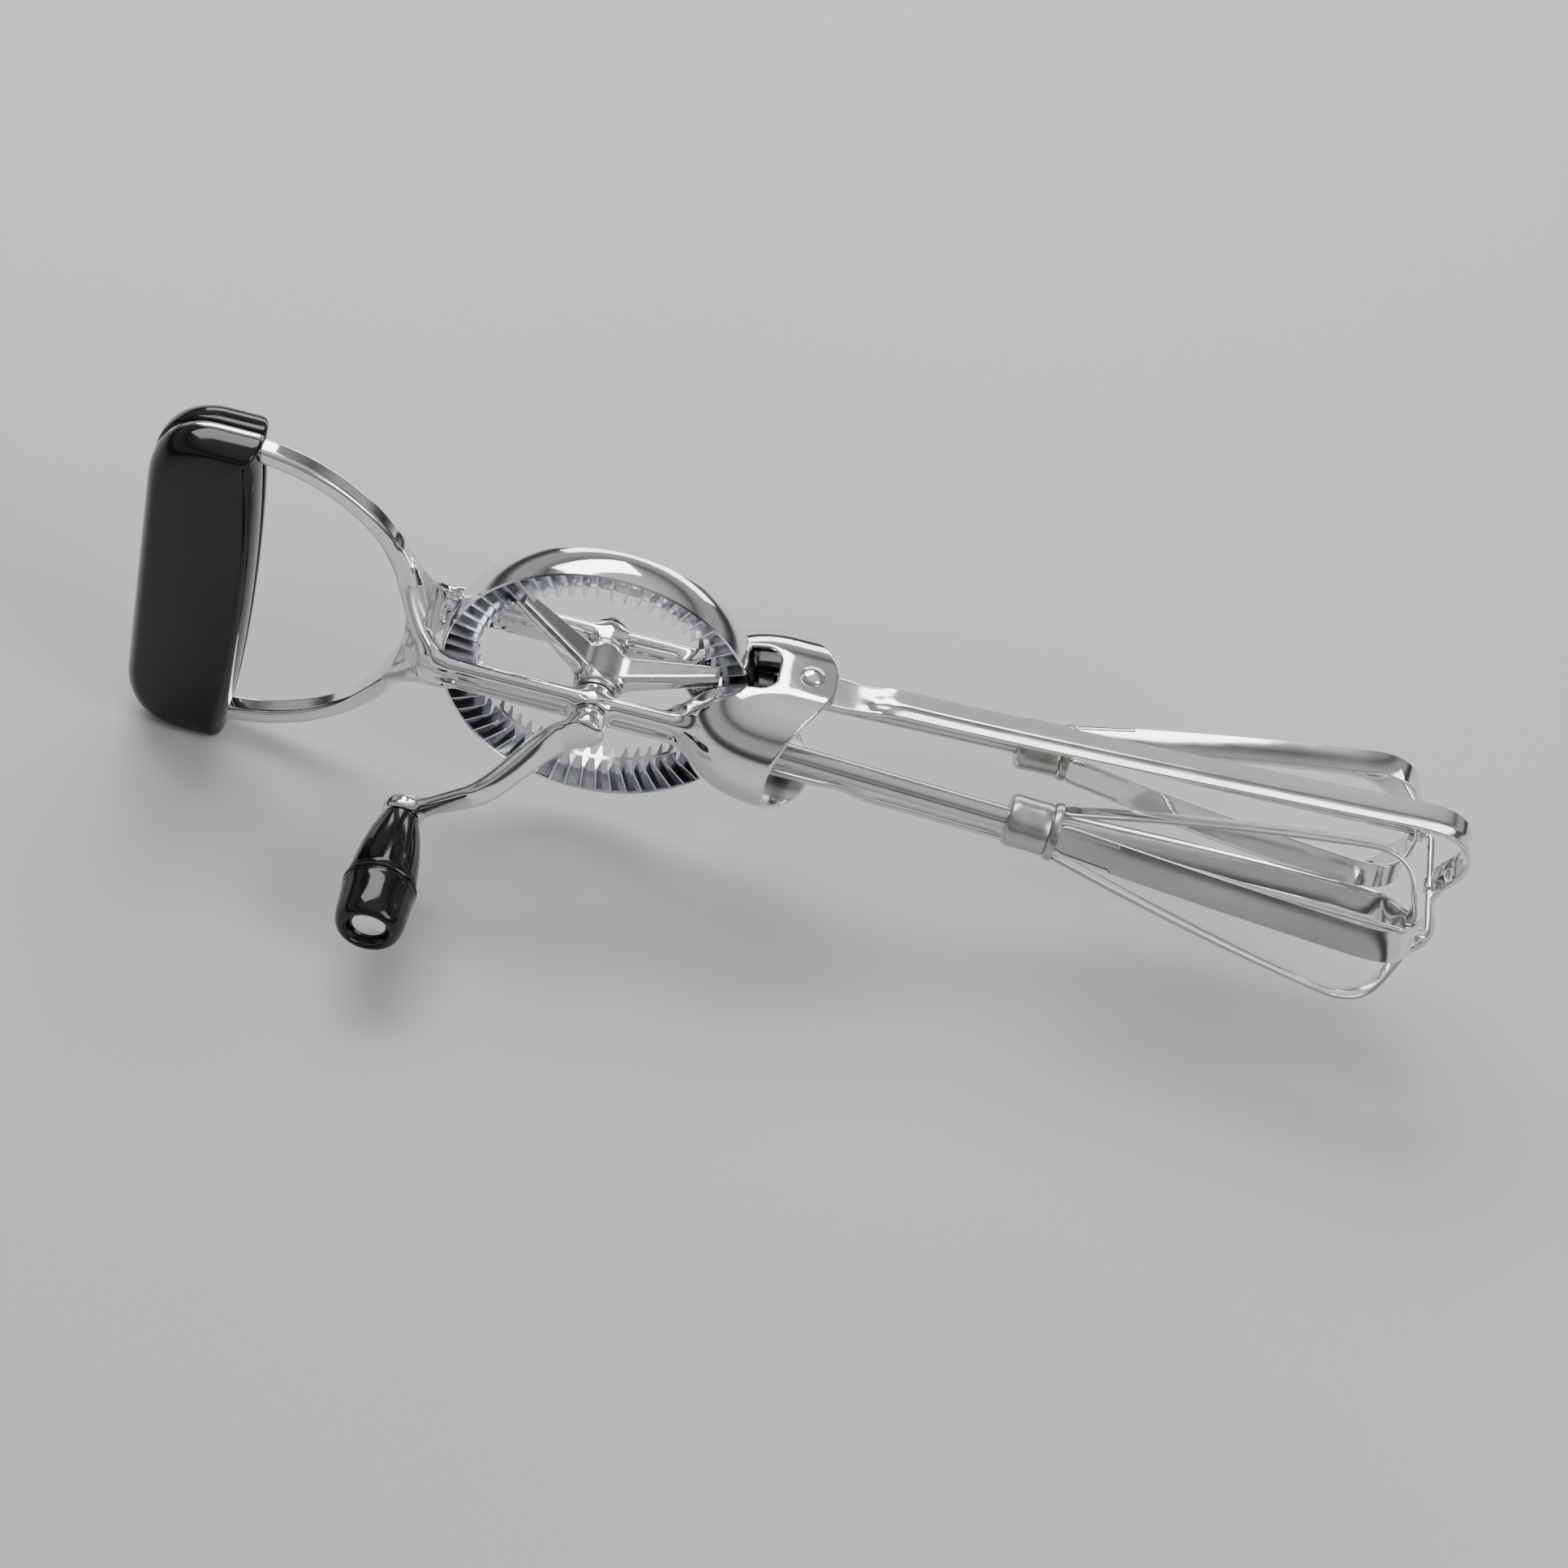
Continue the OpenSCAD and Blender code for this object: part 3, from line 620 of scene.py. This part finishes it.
def casting_distance(p):
    """The whole casting. It is the same on both sides of the tool's middle plane."""
    x, y, z = p.T
    a = np.abs(y)
    q = np.column_stack([x, a, z])
    outside = np.where(x > LOOP_X, np.hypot(x - LOOP_X, z), np.abs(z)) - LOOP_R
    leg_end = LOOP_X - 6
    body = np.maximum(loop_distance(outside, a), leg_end - x)
    body = smin(body, fork_distance(q), 2.4)
    # the loop's inner side stays clean
    body = smax(body, -(outside + 2.1), 0.5)
    body = smin(body, rail_distance(q), 1.6)
    axle_boss = rod_y(q, 4.6, 6.9, 12.6, 0.5)
    body = smin(body, axle_boss, 1.6)
    # the housing, with nothing but its wall inside it, and its V-shaped mouth
    hollow = bell_distance(p, BELL_WALL)
    body = smin(body, smax(bell_distance(p, 0), -hollow, 0.3), 3.2)
    rails_end = 25.6
    body = smax(body, -smax(hollow, rails_end - x, 0.4), 0.4)
    slant = 0.92  # makes up for the edge's slope
    body = smax(body, (x - mouth(y)) * slant, 0.5)
    # the gear's slot, open towards the handle
    slot_start, slot_end, slot_half, corner = -39.4, 38, 6, 3.4
    slot = rounded(np.column_stack([x - slot_end + corner, a - slot_half + corner]), corner)
    body = smax(body, -np.maximum(slot, slot_start - x), 1.0)
    bush_bore = 3.3
    return smax(body, bush_bore - np.hypot(x, z), 0.3)


def grip_outline(inset):
    """Outline of the grip in the XZ plane: straight outer edge, rounded ends, bowed inner edge."""
    half = GRIP_LEN / 2 - inset
    out = -GRIP_OUTER + inset
    inner = -GRIP_OUTER + GRIP_DEPTH - inset
    corner = 13.0
    bow = 2.9
    return np.vstack([
        bezier((inner, half - 1.5), (inner + 0.1, half), (inner, half), (inner - 1.5, half), 5),
        bezier((out + corner, half), (out + 5, half), (out, half - 6), (out, half - corner - 3), 14),
        bezier((out, -half + corner + 3), (out, -half + 6), (out + 5, -half), (out + corner, -half), 14),
        bezier((inner - 1.5, -half), (inner, -half), (inner + 0.1, -half), (inner, -half + 1.5), 5),
        bezier((inner, -half + 3), (inner + bow, -half / 2), (inner + bow, half / 2), (inner, half - 3), 22),
    ])


def level_ring(line, y):
    """An outline in the XZ plane, put at a height y."""
    return np.column_stack([line[:, 0], np.full(len(line), y), line[:, 1]])


def frame_casting():
    verts, faces, normals = field_mesh(casting_distance, (-92.5, -22.5, -46.5), (53.5, 22.5, 46.5), 0.5)
    finish_piece(Shape(verts, faces, normals), "casting", "frame", "chrome_casting", ("frame_casting",))
    edge = ((0.7, -0.8), (0.45, -0.7), (0.35, -0.4), (0.35, 0.4), (0.45, 0.7), (0.7, 0.8))
    tang = Shape(*loft([level_ring(grip_outline(inset), y) for inset, y in edge]))
    finish_piece(tang, "grip_tang", "frame", "chrome_casting")


# ---- grip ----

def grip_shell(side, name, node):
    """One half of the grip: a rounded edge that turns into a flat, slightly crowned face."""
    base = 0.85
    straight, edge_in, edge_up, crown = 1.0, 3.3, 6.3, 0.5
    edge_steps, face_steps = 10, 7
    rings = [(grip_outline(inset), base + up) for inset, up in ((0.35, 0), (0.05, 0.3), (0.0, straight))]
    for k in range(1, edge_steps + 1):
        t = math.radians(90 / edge_steps * k)
        line = grip_outline(edge_in * (1 - math.cos(t)))
        rings.append((line, base + straight + edge_up * math.sin(t)))
    edge = grip_outline(edge_in)
    middle = np.column_stack([np.full(len(edge), edge[:, 0].mean()), edge[:, 1] * 0.86])
    for k in range(1, face_steps + 1):
        t = k / face_steps
        rings.append((edge * (1 - t) + middle * t, base + straight + edge_up + crown * (1 - (1 - t) ** 2)))
    shape = Shape(*loft([level_ring(line, side * y) for line, y in rings]))
    finish_piece(shape, name, "frame", "black_plastic", (node,), 50)


# ---- main gear ----

def spider_distance(p):
    """Hub and three tapering spokes, in the gear's own frame: [u, v] in its plane, w along the axle."""
    u, v, w = p.T
    hub_r, hub_half, bore = 5.0, 5.6, 3.0
    q = np.column_stack([u, w, v])
    body = smin(rod_y(q, hub_r, -hub_half, hub_half, 0.35), rod_y(q, hub_r, 4.2, hub_half, 0.2), 0.3)
    for degrees in (19, 139, 259):
        angle = math.radians(degrees)
        along = u * math.cos(angle) + v * math.sin(angle)
        across = np.abs(-u * math.sin(angle) + v * math.cos(angle))
        t = np.clip(along / 28.5, 0, 1)
        half = 2.6 - 1.0 * t
        deep = 3.7 - 1.9 * t
        spoke = smax(across - half, np.abs(w) - deep, 0.7)
        spine = smax(across - (half - 0.9), np.abs(w) - deep - 0.5, 0.5)
        spoke = smin(spoke, spine, 0.6)
        spoke = np.maximum(spoke, np.maximum(-along, along - 28.6))
        body = smin(body, spoke, 2.6)
    return smax(body, bore - np.hypot(u, v), 0.3)


def gear_rim():
    """Half profiles [along the axle, radius] of the rim, slightly crowned, and of the web inside it."""
    inner_r, edge_r, steps = 34.85, 34.95, 12
    face = RIM_HALF - 0.25
    ends = [-face + 2 * face * k / steps for k in range(steps + 1)]
    outer = [(w, GEAR_R - 0.7 * (w / RIM_HALF) ** 2) for w in ends]
    inner = [(w, inner_r - 0.1 * (w / RIM_HALF) ** 2) for w in reversed(ends)]
    rim = [(-RIM_HALF, edge_r), *outer, (RIM_HALF, edge_r), (RIM_HALF - 0.1, inner_r), *inner,
           (-RIM_HALF + 0.1, inner_r)]
    web = [(-0.7, 35.2), (0.7, 35.2), (0.7, 28.2), (0.5, 27.8), (-0.5, 27.8), (-0.7, 28.2)]
    return rim, web


def gear_fin(angle, side):
    """A wedge fin on one face of the web: thin at its top, wide at its foot."""
    outwards = np.array((math.cos(angle), 0, math.sin(angle)))
    around = np.array((-math.sin(angle), 0, math.cos(angle)))
    foot, land = 0.6, 0.17
    rings = []
    for r, top, base in ((27.85, 3.6, 0.8), (28.1, 3.95, 0.84), (35.0, 4.0, 0.9)):
        section = [(-base, foot), (base, foot), (land + 0.02, top - 0.06), (land - 0.06, top),
                   (-land + 0.06, top), (-land - 0.02, top - 0.06)]
        rings.append(np.array([outwards * r + around * s + (0, side * h, 0) for s, h in section]))
    return loft(rings)


def main_gear():
    verts, faces, _ = field_mesh(spider_distance, (-30, -30, -6.5), (30, 30, 6.5), 0.45)
    shape = Shape(np.column_stack([verts[:, 0], -verts[:, 2], verts[:, 1]]), faces)
    for profile, segments in zip(gear_rim(), (180, 120)):
        verts, faces = lathe(profile, segments)
        shape.add(along_y(verts), faces)
    for k in range(TEETH):
        for side in (-1, 1):
            shape.add(*gear_fin(2 * math.pi * (k + 0.5) / TEETH, side))
    finish_piece(shape, "gear", "crank", "chrome_gear", ("main_gear",), 35)


# ---- crank ----

ARM_RISE = 12.2  # from the arm's height at the hub to its height at the knob
ARM_S = np.linspace(0, 50, 101)


def arm_height(s):
    """Height of the arm's middle over the tool's middle plane, s along the arm."""
    return 17.4 + ARM_RISE * smoothstep(s, 5, 27)


ARM_SLOPE = np.gradient(arm_height(ARM_S), ARM_S)


def arm_distance(p):
    """The crank arm, in its own frame: s along the arm, h outwards, t across."""
    s, h, t = p.T
    hub_r = 4.15
    lean = 1 / np.sqrt(1 + np.interp(s, ARM_S, ARM_SLOPE) ** 2)
    half_thick = np.interp(s, (0, 6, 30, 40, 45), (1.85, 1.75, 1.7, 1.6, 1.8))
    half_wide = np.interp(s, (0, 5, 14, 26, 37, 41, 44.8), (hub_r, 4.0, 3.6, 3.1, 2.5, 2.7, 3.2))
    crowned = half_thick * (1.06 - 0.32 * np.minimum(np.abs(t) / half_wide, 1) ** 2)
    slab = np.abs(h - arm_height(s)) * lean - crowned
    plan = np.where(s < 0, np.hypot(s, t) - hub_r, np.abs(t) - half_wide)
    arm = smax(slab, np.maximum(plan, s - CRANK_LEN), 1.5)
    boss = rod_y(p, 4.25, 14.1, 18.4, 0.35)
    end = rod_y(p, 4.7, 27.6, 31.4, 1.2, CRANK_LEN)
    return smin(smin(arm, boss, 0.9), end, 1.8)


def in_arm_frame(points):
    """[along the arm, outwards, across] to the tool frame."""
    p = np.asarray(points, float)
    c, s = math.cos(CRANK_ANGLE), math.sin(CRANK_ANGLE)
    return np.column_stack([p[:, 0] * c + p[:, 2] * s, -p[:, 1], p[:, 0] * s - p[:, 2] * c])


def crank_arm():
    verts, faces, normals = field_mesh(arm_distance, (-6, 12.5, -6), (51, 33.5, 6), 0.4)
    shape = Shape(in_arm_frame(verts), faces, in_arm_frame(normals))
    finish_piece(shape, "crank", "crank", "chrome_crank", ("crank_arm",))


def about_knob(profile, segments):
    """A turned shape on the knob's axis, from [outwards, radius] points."""
    verts, faces = lathe(profile, segments)
    return Shape(in_arm_frame(np.column_stack([verts[:, 1] + CRANK_LEN, verts[:, 0], verts[:, 2]])), faces)


def crank_knob():
    start, end = 32.0, 64.4
    ring = start + 19.0
    bore = 2.1
    profile = chain(
        [(start, bore), (start, 3.9), (start + 0.25, 4.4)],
        bezier((start + 0.25, 4.4), (start + 5, 6.0), (start + 11, 7.3), (ring - 0.5, 7.75), 18),
        [(ring - 0.5, 7.75), (ring - 0.3, 7.6), (ring, 7.6), (ring + 0.2, 8.1), (ring + 0.6, 8.3),
         (ring + 1.0, 8.1), (ring + 1.15, 7.85), (ring + 1.45, 7.85), (ring + 1.6, 8.15),
         (ring + 2.0, 8.3), (ring + 2.5, 8.2)],
        bezier((ring + 2.5, 8.2), (ring + 4, 7.95), (end - 6, 8.0), (end - 3.4, 7.75), 10),
        bezier((end - 3.4, 7.75), (end - 1.3, 7.5), (end, 6.8), (end, 5.6), 10),
        [(end, 5.6), (end - 0.25, 5.2), (end - 0.5, 5.1), (end - 0.6, 4.8), (end - 2.4, 4.7),
         (end - 2.6, 4.5), (end - 2.6, bore)])
    finish_piece(about_knob(profile, 72), "knob", "knob", "black_plastic_knob", ("crank_knob",), 45)


def knob_pin():
    """A rivet: a foot in the arm, a shank and a domed head in the knob's end."""
    shank = 2.0
    profile = chain(
        [(26.4, 0), (26.4, 2.2), (27.4, 3.0), (27.4, shank), (61.8, shank), (61.8, 4.3), (62.3, 4.4)],
        bezier((62.3, 4.4), (62.9, 4.3), (63.4, 2.8), (63.5, 0), 8))
    finish_piece(about_knob(profile, 48), "knob_rivet", "crank", "bright_steel", ("knob_pin",), 35)


# ---- beaters ----

def turned_on_beater(profile, segments, side):
    verts, faces = lathe(profile, segments)
    return Shape(on_beater(verts, side), faces)


def shaft(side):
    bore, edge = 2.0, 2.6
    start, end = 30.9, 104
    profile = [(start, bore), (start, edge), (start + 0.1, TUBE_R),
               (end - 0.1, TUBE_R), (end, edge), (end, bore)]
    name = SIDES[side]
    finish_piece(turned_on_beater(profile, 40, side), "tube_" + name, "beater_" + name, "satin_steel",
                 ("shaft_tube_" + name,))


def collar(side):
    low, high = COLLAR_U
    bore = 2.8
    profile = chain(
        [(low, bore), (low, 4.3)],
        bezier((low, 4.3), (low, 5.3), (low + 0.3, 5.7), (low + 1.5, 6.0), 6),
        bezier((low + 1.5, 6.0), (low + 4, 5.9), (low + 6, 5.85), (high - 2.6, 6.0), 6),
        [(high - 2.4, 5.75), (high - 2.1, 5.75), (high - 1.9, 6.15)],
        bezier((high - 1.9, 6.15), (high - 1.4, 6.6), (high - 0.6, 6.75), (high, 6.6), 5),
        [(high, 5.6), (high - 0.5, 5.55), (high - 0.5, bore)])
    name = SIDES[side]
    finish_piece(turned_on_beater(profile, 56, side), "ferrule_" + name, "beater_" + name, "collar_steel",
                 ("collar_" + name,), 30)


def bow_line(tip):
    """Inner side of a bow: [along the axis, radius] from the collar to the tip's middle."""
    widest = BLADE_R - BLADE_T
    neck = 6.3 - BLADE_T
    return chain(
        [(COLLAR_U[1] - 0.3, neck), (COLLAR_U[1], neck)],
        bezier((COLLAR_U[1], neck), (116, 7.1), (138, widest * 0.68), (172, widest - 1.3), 26),
        bezier((172, widest - 1.3), (179.5, widest + 0.1), (184.6, widest - 1.6), (186.9, widest - 8.6), 18),
        bezier((186.9, widest - 8.6), (188.0, widest - 11.6), (tip, 6.2), (tip, 3.8), 12),
        [(tip, 3.8), (tip, 0)])


def both_arms(line, step):
    """A U-shaped path from one of its arms, run so that its outer face is on the left."""
    half = evenly(line, step)
    return np.vstack([half, (half * (1, -1))[-2::-1]])[::-1]


def blade_bow(side, turn, inner, letter):
    """Two opposite blades in one strip. The inner bow's tip lies under the outer one's."""
    tip = TIP_U - BLADE_T - (BLADE_T if inner else 0)
    path = both_arms(bow_line(tip), 1.3)
    total = lengths_along(path)[-1]
    round_end = 2.2

    def half_width(run, _):
        from_end = max(min(run, total - run), 0)
        return BLADE_W / 2 * (0.72 + 0.28 * min(1.0, math.sqrt(from_end / round_end)))

    def crown(point, y):
        return -0.22 * smoothstep(abs(point[1]), 4.0, 9.0) * y**2

    verts, faces = strip(path, half_width, BLADE_T, crown, 0.14, 7)
    upright = np.column_stack([verts[:, 0], verts[:, 2], verts[:, 1]])
    name = SIDES[side]
    finish_piece(Shape(on_beater(upright, side, turn), faces), f"bow_{name}_{letter}", "beater_" + name,
                 "blade_steel", (f"blade_bow_{name}_{letter}",), 50)


# ---- strap, wire and rivets ----

STRAP_T = 1.2


def strap_line():
    """Inner side of the strap's upper arm, from its tab to the middle of its dip: [x, z]."""
    tab_z = BELL_R - 1.8 - STRAP_T
    end = STRAP_END - STRAP_T
    return chain(
        [(41.9, tab_z), (56, tab_z)],
        bezier((56, tab_z), (60, tab_z), (61, tab_z + 0.9), (66, tab_z + 1.0), 8),
        bezier((66, tab_z + 1.0), (90, BELL_R - 0.4 - STRAP_T), (130, 18.6 - STRAP_T),
               (180, 22.6 - STRAP_T), 30),
        bezier((180, 22.6 - STRAP_T), (191, 23.6 - STRAP_T), (end, 20.5), (end, 12.4), 14),
        bezier((end, 12.4), (end, 5.4), (194.1, 5.6), (194.1, 0), 12))


def strap():
    """The strap, with a wider tab at the housing, a roof-shaped section and a dimple in each arm."""
    def half_width(_, point):
        return 4.0 + 0.7 * (1 - smoothstep(point[0], 52, 60))

    def crown(point, y):
        x, z = point
        roof = smoothstep(x, 58, 68) * (1 - 0.6 * smoothstep(x, 190, 197))
        dimple = 0.5 * math.exp(-((x - 61.5) / 2.2) ** 2) * np.exp(-(y / 0.45) ** 2)
        on_arm = abs(z) > 8
        return -0.95 * roof * np.abs(y) ** 1.25 + dimple * on_arm

    shape = Shape(*strip(both_arms(strap_line(), 1.4), half_width, STRAP_T, crown, 0.16, 13))
    finish_piece(shape, "strap_band", "frame", "polished_steel", ("strap",), 50)


def strap_rivet(side, name):
    top, shank = BELL_R, 1.6
    profile = chain(
        [(top - 4.2, 0), (top - 4.1, 2.2), (top - 3.0, 2.5), (top - 3.0, shank), (top - 0.05, shank),
         (top - 0.05, 2.75), (top + 0.25, 2.85)],
        bezier((top + 0.25, 2.85), (top + 1.0, 2.7), (top + 1.55, 1.5), (top + 1.6, 0), 9))
    verts, faces = lathe(profile, 40)
    shape = Shape(np.column_stack([verts[:, 1] + RIVET_X, verts[:, 2], side * verts[:, 0]]), faces)
    finish_piece(shape, "rivet_" + name, "frame", "bright_steel", ("strap_rivet_" + name,), 35)


def centre_wire():
    """One wire up through both beaters and across below their tips."""
    start, corner = 19, 2.2
    bend = bezier((WIRE_BASE - corner, 0), (WIRE_BASE - 0.9, 0), (WIRE_BASE, -0.9), (WIRE_BASE, -corner), 8)
    half = chain(evenly([(start, 0), (WIRE_BASE - corner, 0)], 8), bend)
    front, back = (on_beater(np.column_stack([half[:, 0], side * half[:, 1], np.zeros(len(half))]), side)
                   for side in (-1, 1))
    shape = Shape(*tube(np.vstack([front, back[::-1]]), WIRE_R, 16))
    finish_piece(shape, "wire", "frame", "bright_steel", ("centre_wire",), 60)


def build():
    frame_casting()
    grip_shell(-1, "grip_front", "grip_front_shell")
    grip_shell(1, "grip_back", "grip_back_shell")
    main_gear()
    crank_arm()
    crank_knob()
    knob_pin()
    for side in SIDES:
        shaft(side)
        collar(side)
    blade_bow(-1, -FRONT_PHASE, False, "a")
    blade_bow(-1, 90 - FRONT_PHASE, True, "b")
    blade_bow(1, BACK_PHASE, False, "a")
    blade_bow(1, BACK_PHASE - 90, True, "b")
    strap()
    strap_rivet(1, "upper")
    strap_rivet(-1, "lower")
    centre_wire()


def dress_cad_nodes():
    """CAD nodes whose shape is right keep it, and get their slot's material."""
    slots = {part["node"]: part["material_slot"] for part in frame["record"]["subparts"]}
    for name, obj in frame["nodes"].items():
        obj.data.materials.clear()
        obj.data.materials.append(MATERIALS[slots[name]])


# ---- stage ----

def studio():
    """A pale floor, soft lights and a plain surround with darker bands for the chrome to mirror."""
    mesh = bpy.data.meshes.new("floor")
    reach, gap = 3.0, 0.0003  # metres
    mesh.from_pydata([(-reach, -reach, 0), (reach, -reach, 0), (reach, reach, 0), (-reach, reach, 0)], [],
                     [(0, 1, 2, 3)])
    floor = bpy.data.objects.new("floor", mesh)
    floor.location.z = cad_box[0][2] - gap
    bpy.context.scene.collection.objects.link(floor)
    mat, tree, shader, coords = node_material("floor")
    tinted(tree, shader, noise(tree, coords, 3, 2), (0.53, 0.53, 0.53), (0.55, 0.55, 0.55))
    shader.inputs["Roughness"].default_value = 0.85
    mesh.materials.append(mat)

    world = bpy.data.worlds.new("studio")
    bpy.context.scene.world = world
    world.use_nodes = True
    tree = world.node_tree
    background = tree.nodes["Background"]
    coords = tree.nodes.new("ShaderNodeTexCoord")
    split = tree.nodes.new("ShaderNodeSeparateXYZ")
    tree.links.new(coords.outputs["Generated"], split.inputs["Vector"])
    ramp = tree.nodes.new("ShaderNodeValToRGB")
    # brightness from straight down at 0 to straight up at 1
    stops = [(0.0, 0.28), (0.48, 0.22), (0.53, 0.05), (0.58, 0.14), (0.63, 0.46), (0.74, 0.44),
             (0.81, 0.15), (0.88, 0.50), (1.0, 0.85)]
    elements = ramp.color_ramp.elements
    while len(elements) < len(stops):
        elements.new(0.5)
    for element, (position, level) in zip(elements, stops):
        element.position = position
        element.color = (level, level, level * 1.01, 1)
    tree.links.new(ranged(tree, split.outputs["Z"], 0, 1, -1, 1), ramp.inputs["Fac"])
    tree.links.new(ramp.outputs["Color"], background.inputs["Color"])
    background.inputs["Strength"].default_value = 0.9

    def softbox(name, at, aim, size, power):
        light = bpy.data.lights.new(name, "AREA")
        light.shape = "RECTANGLE"
        light.size, light.size_y = size
        light.energy = power
        obj = bpy.data.objects.new(name, light)
        obj.location = at
        obj.rotation_euler = (Vector(aim) - Vector(at)).to_track_quat("-Z", "Y").to_euler()
        bpy.context.scene.collection.objects.link(obj)

    softbox("key", (-0.35, 0.55, 0.95), (0, 0, 0.03), (0.9, 0.5), 11)
    softbox("fill", (0.75, -0.45, 0.75), (0.02, 0, 0.03), (0.5, 0.7), 6)
    softbox("back", (0.1, 1.1, 0.35), (0, 0, 0.05), (1.4, 0.25), 5)


def camera():
    """The photograph's view: azimuth and elevation of the line of sight, roll, and distance to its aim."""
    azimuth, elevation, roll = math.radians(4.4), math.radians(47.85), math.radians(17.6)
    distance = 0.818
    aim = Vector(place([(46.7, 0.0, -0.6)])[0])
    sight = Vector((math.sin(azimuth) * math.cos(elevation), math.cos(azimuth) * math.cos(elevation),
                    -math.sin(elevation)))
    level = Vector((math.cos(azimuth), -math.sin(azimuth), 0))
    up = level.cross(sight)
    right = level * math.cos(roll) + up * math.sin(roll)
    up = right.cross(sight)
    data = bpy.data.cameras.new("camera")
    data.lens = 83.85
    data.sensor_width = 36
    data.shift_x = -0.0112
    data.shift_y = -0.0359
    data.clip_start = 0.01
    obj = bpy.data.objects.new("camera", data)
    turn = Matrix((right, up, -sight)).transposed()
    obj.matrix_world = Matrix.Translation(aim - sight * distance) @ turn.to_4x4()
    bpy.context.scene.collection.objects.link(obj)
    bpy.context.scene.camera = obj


camera()
studio()
dress_cad_nodes()
build()
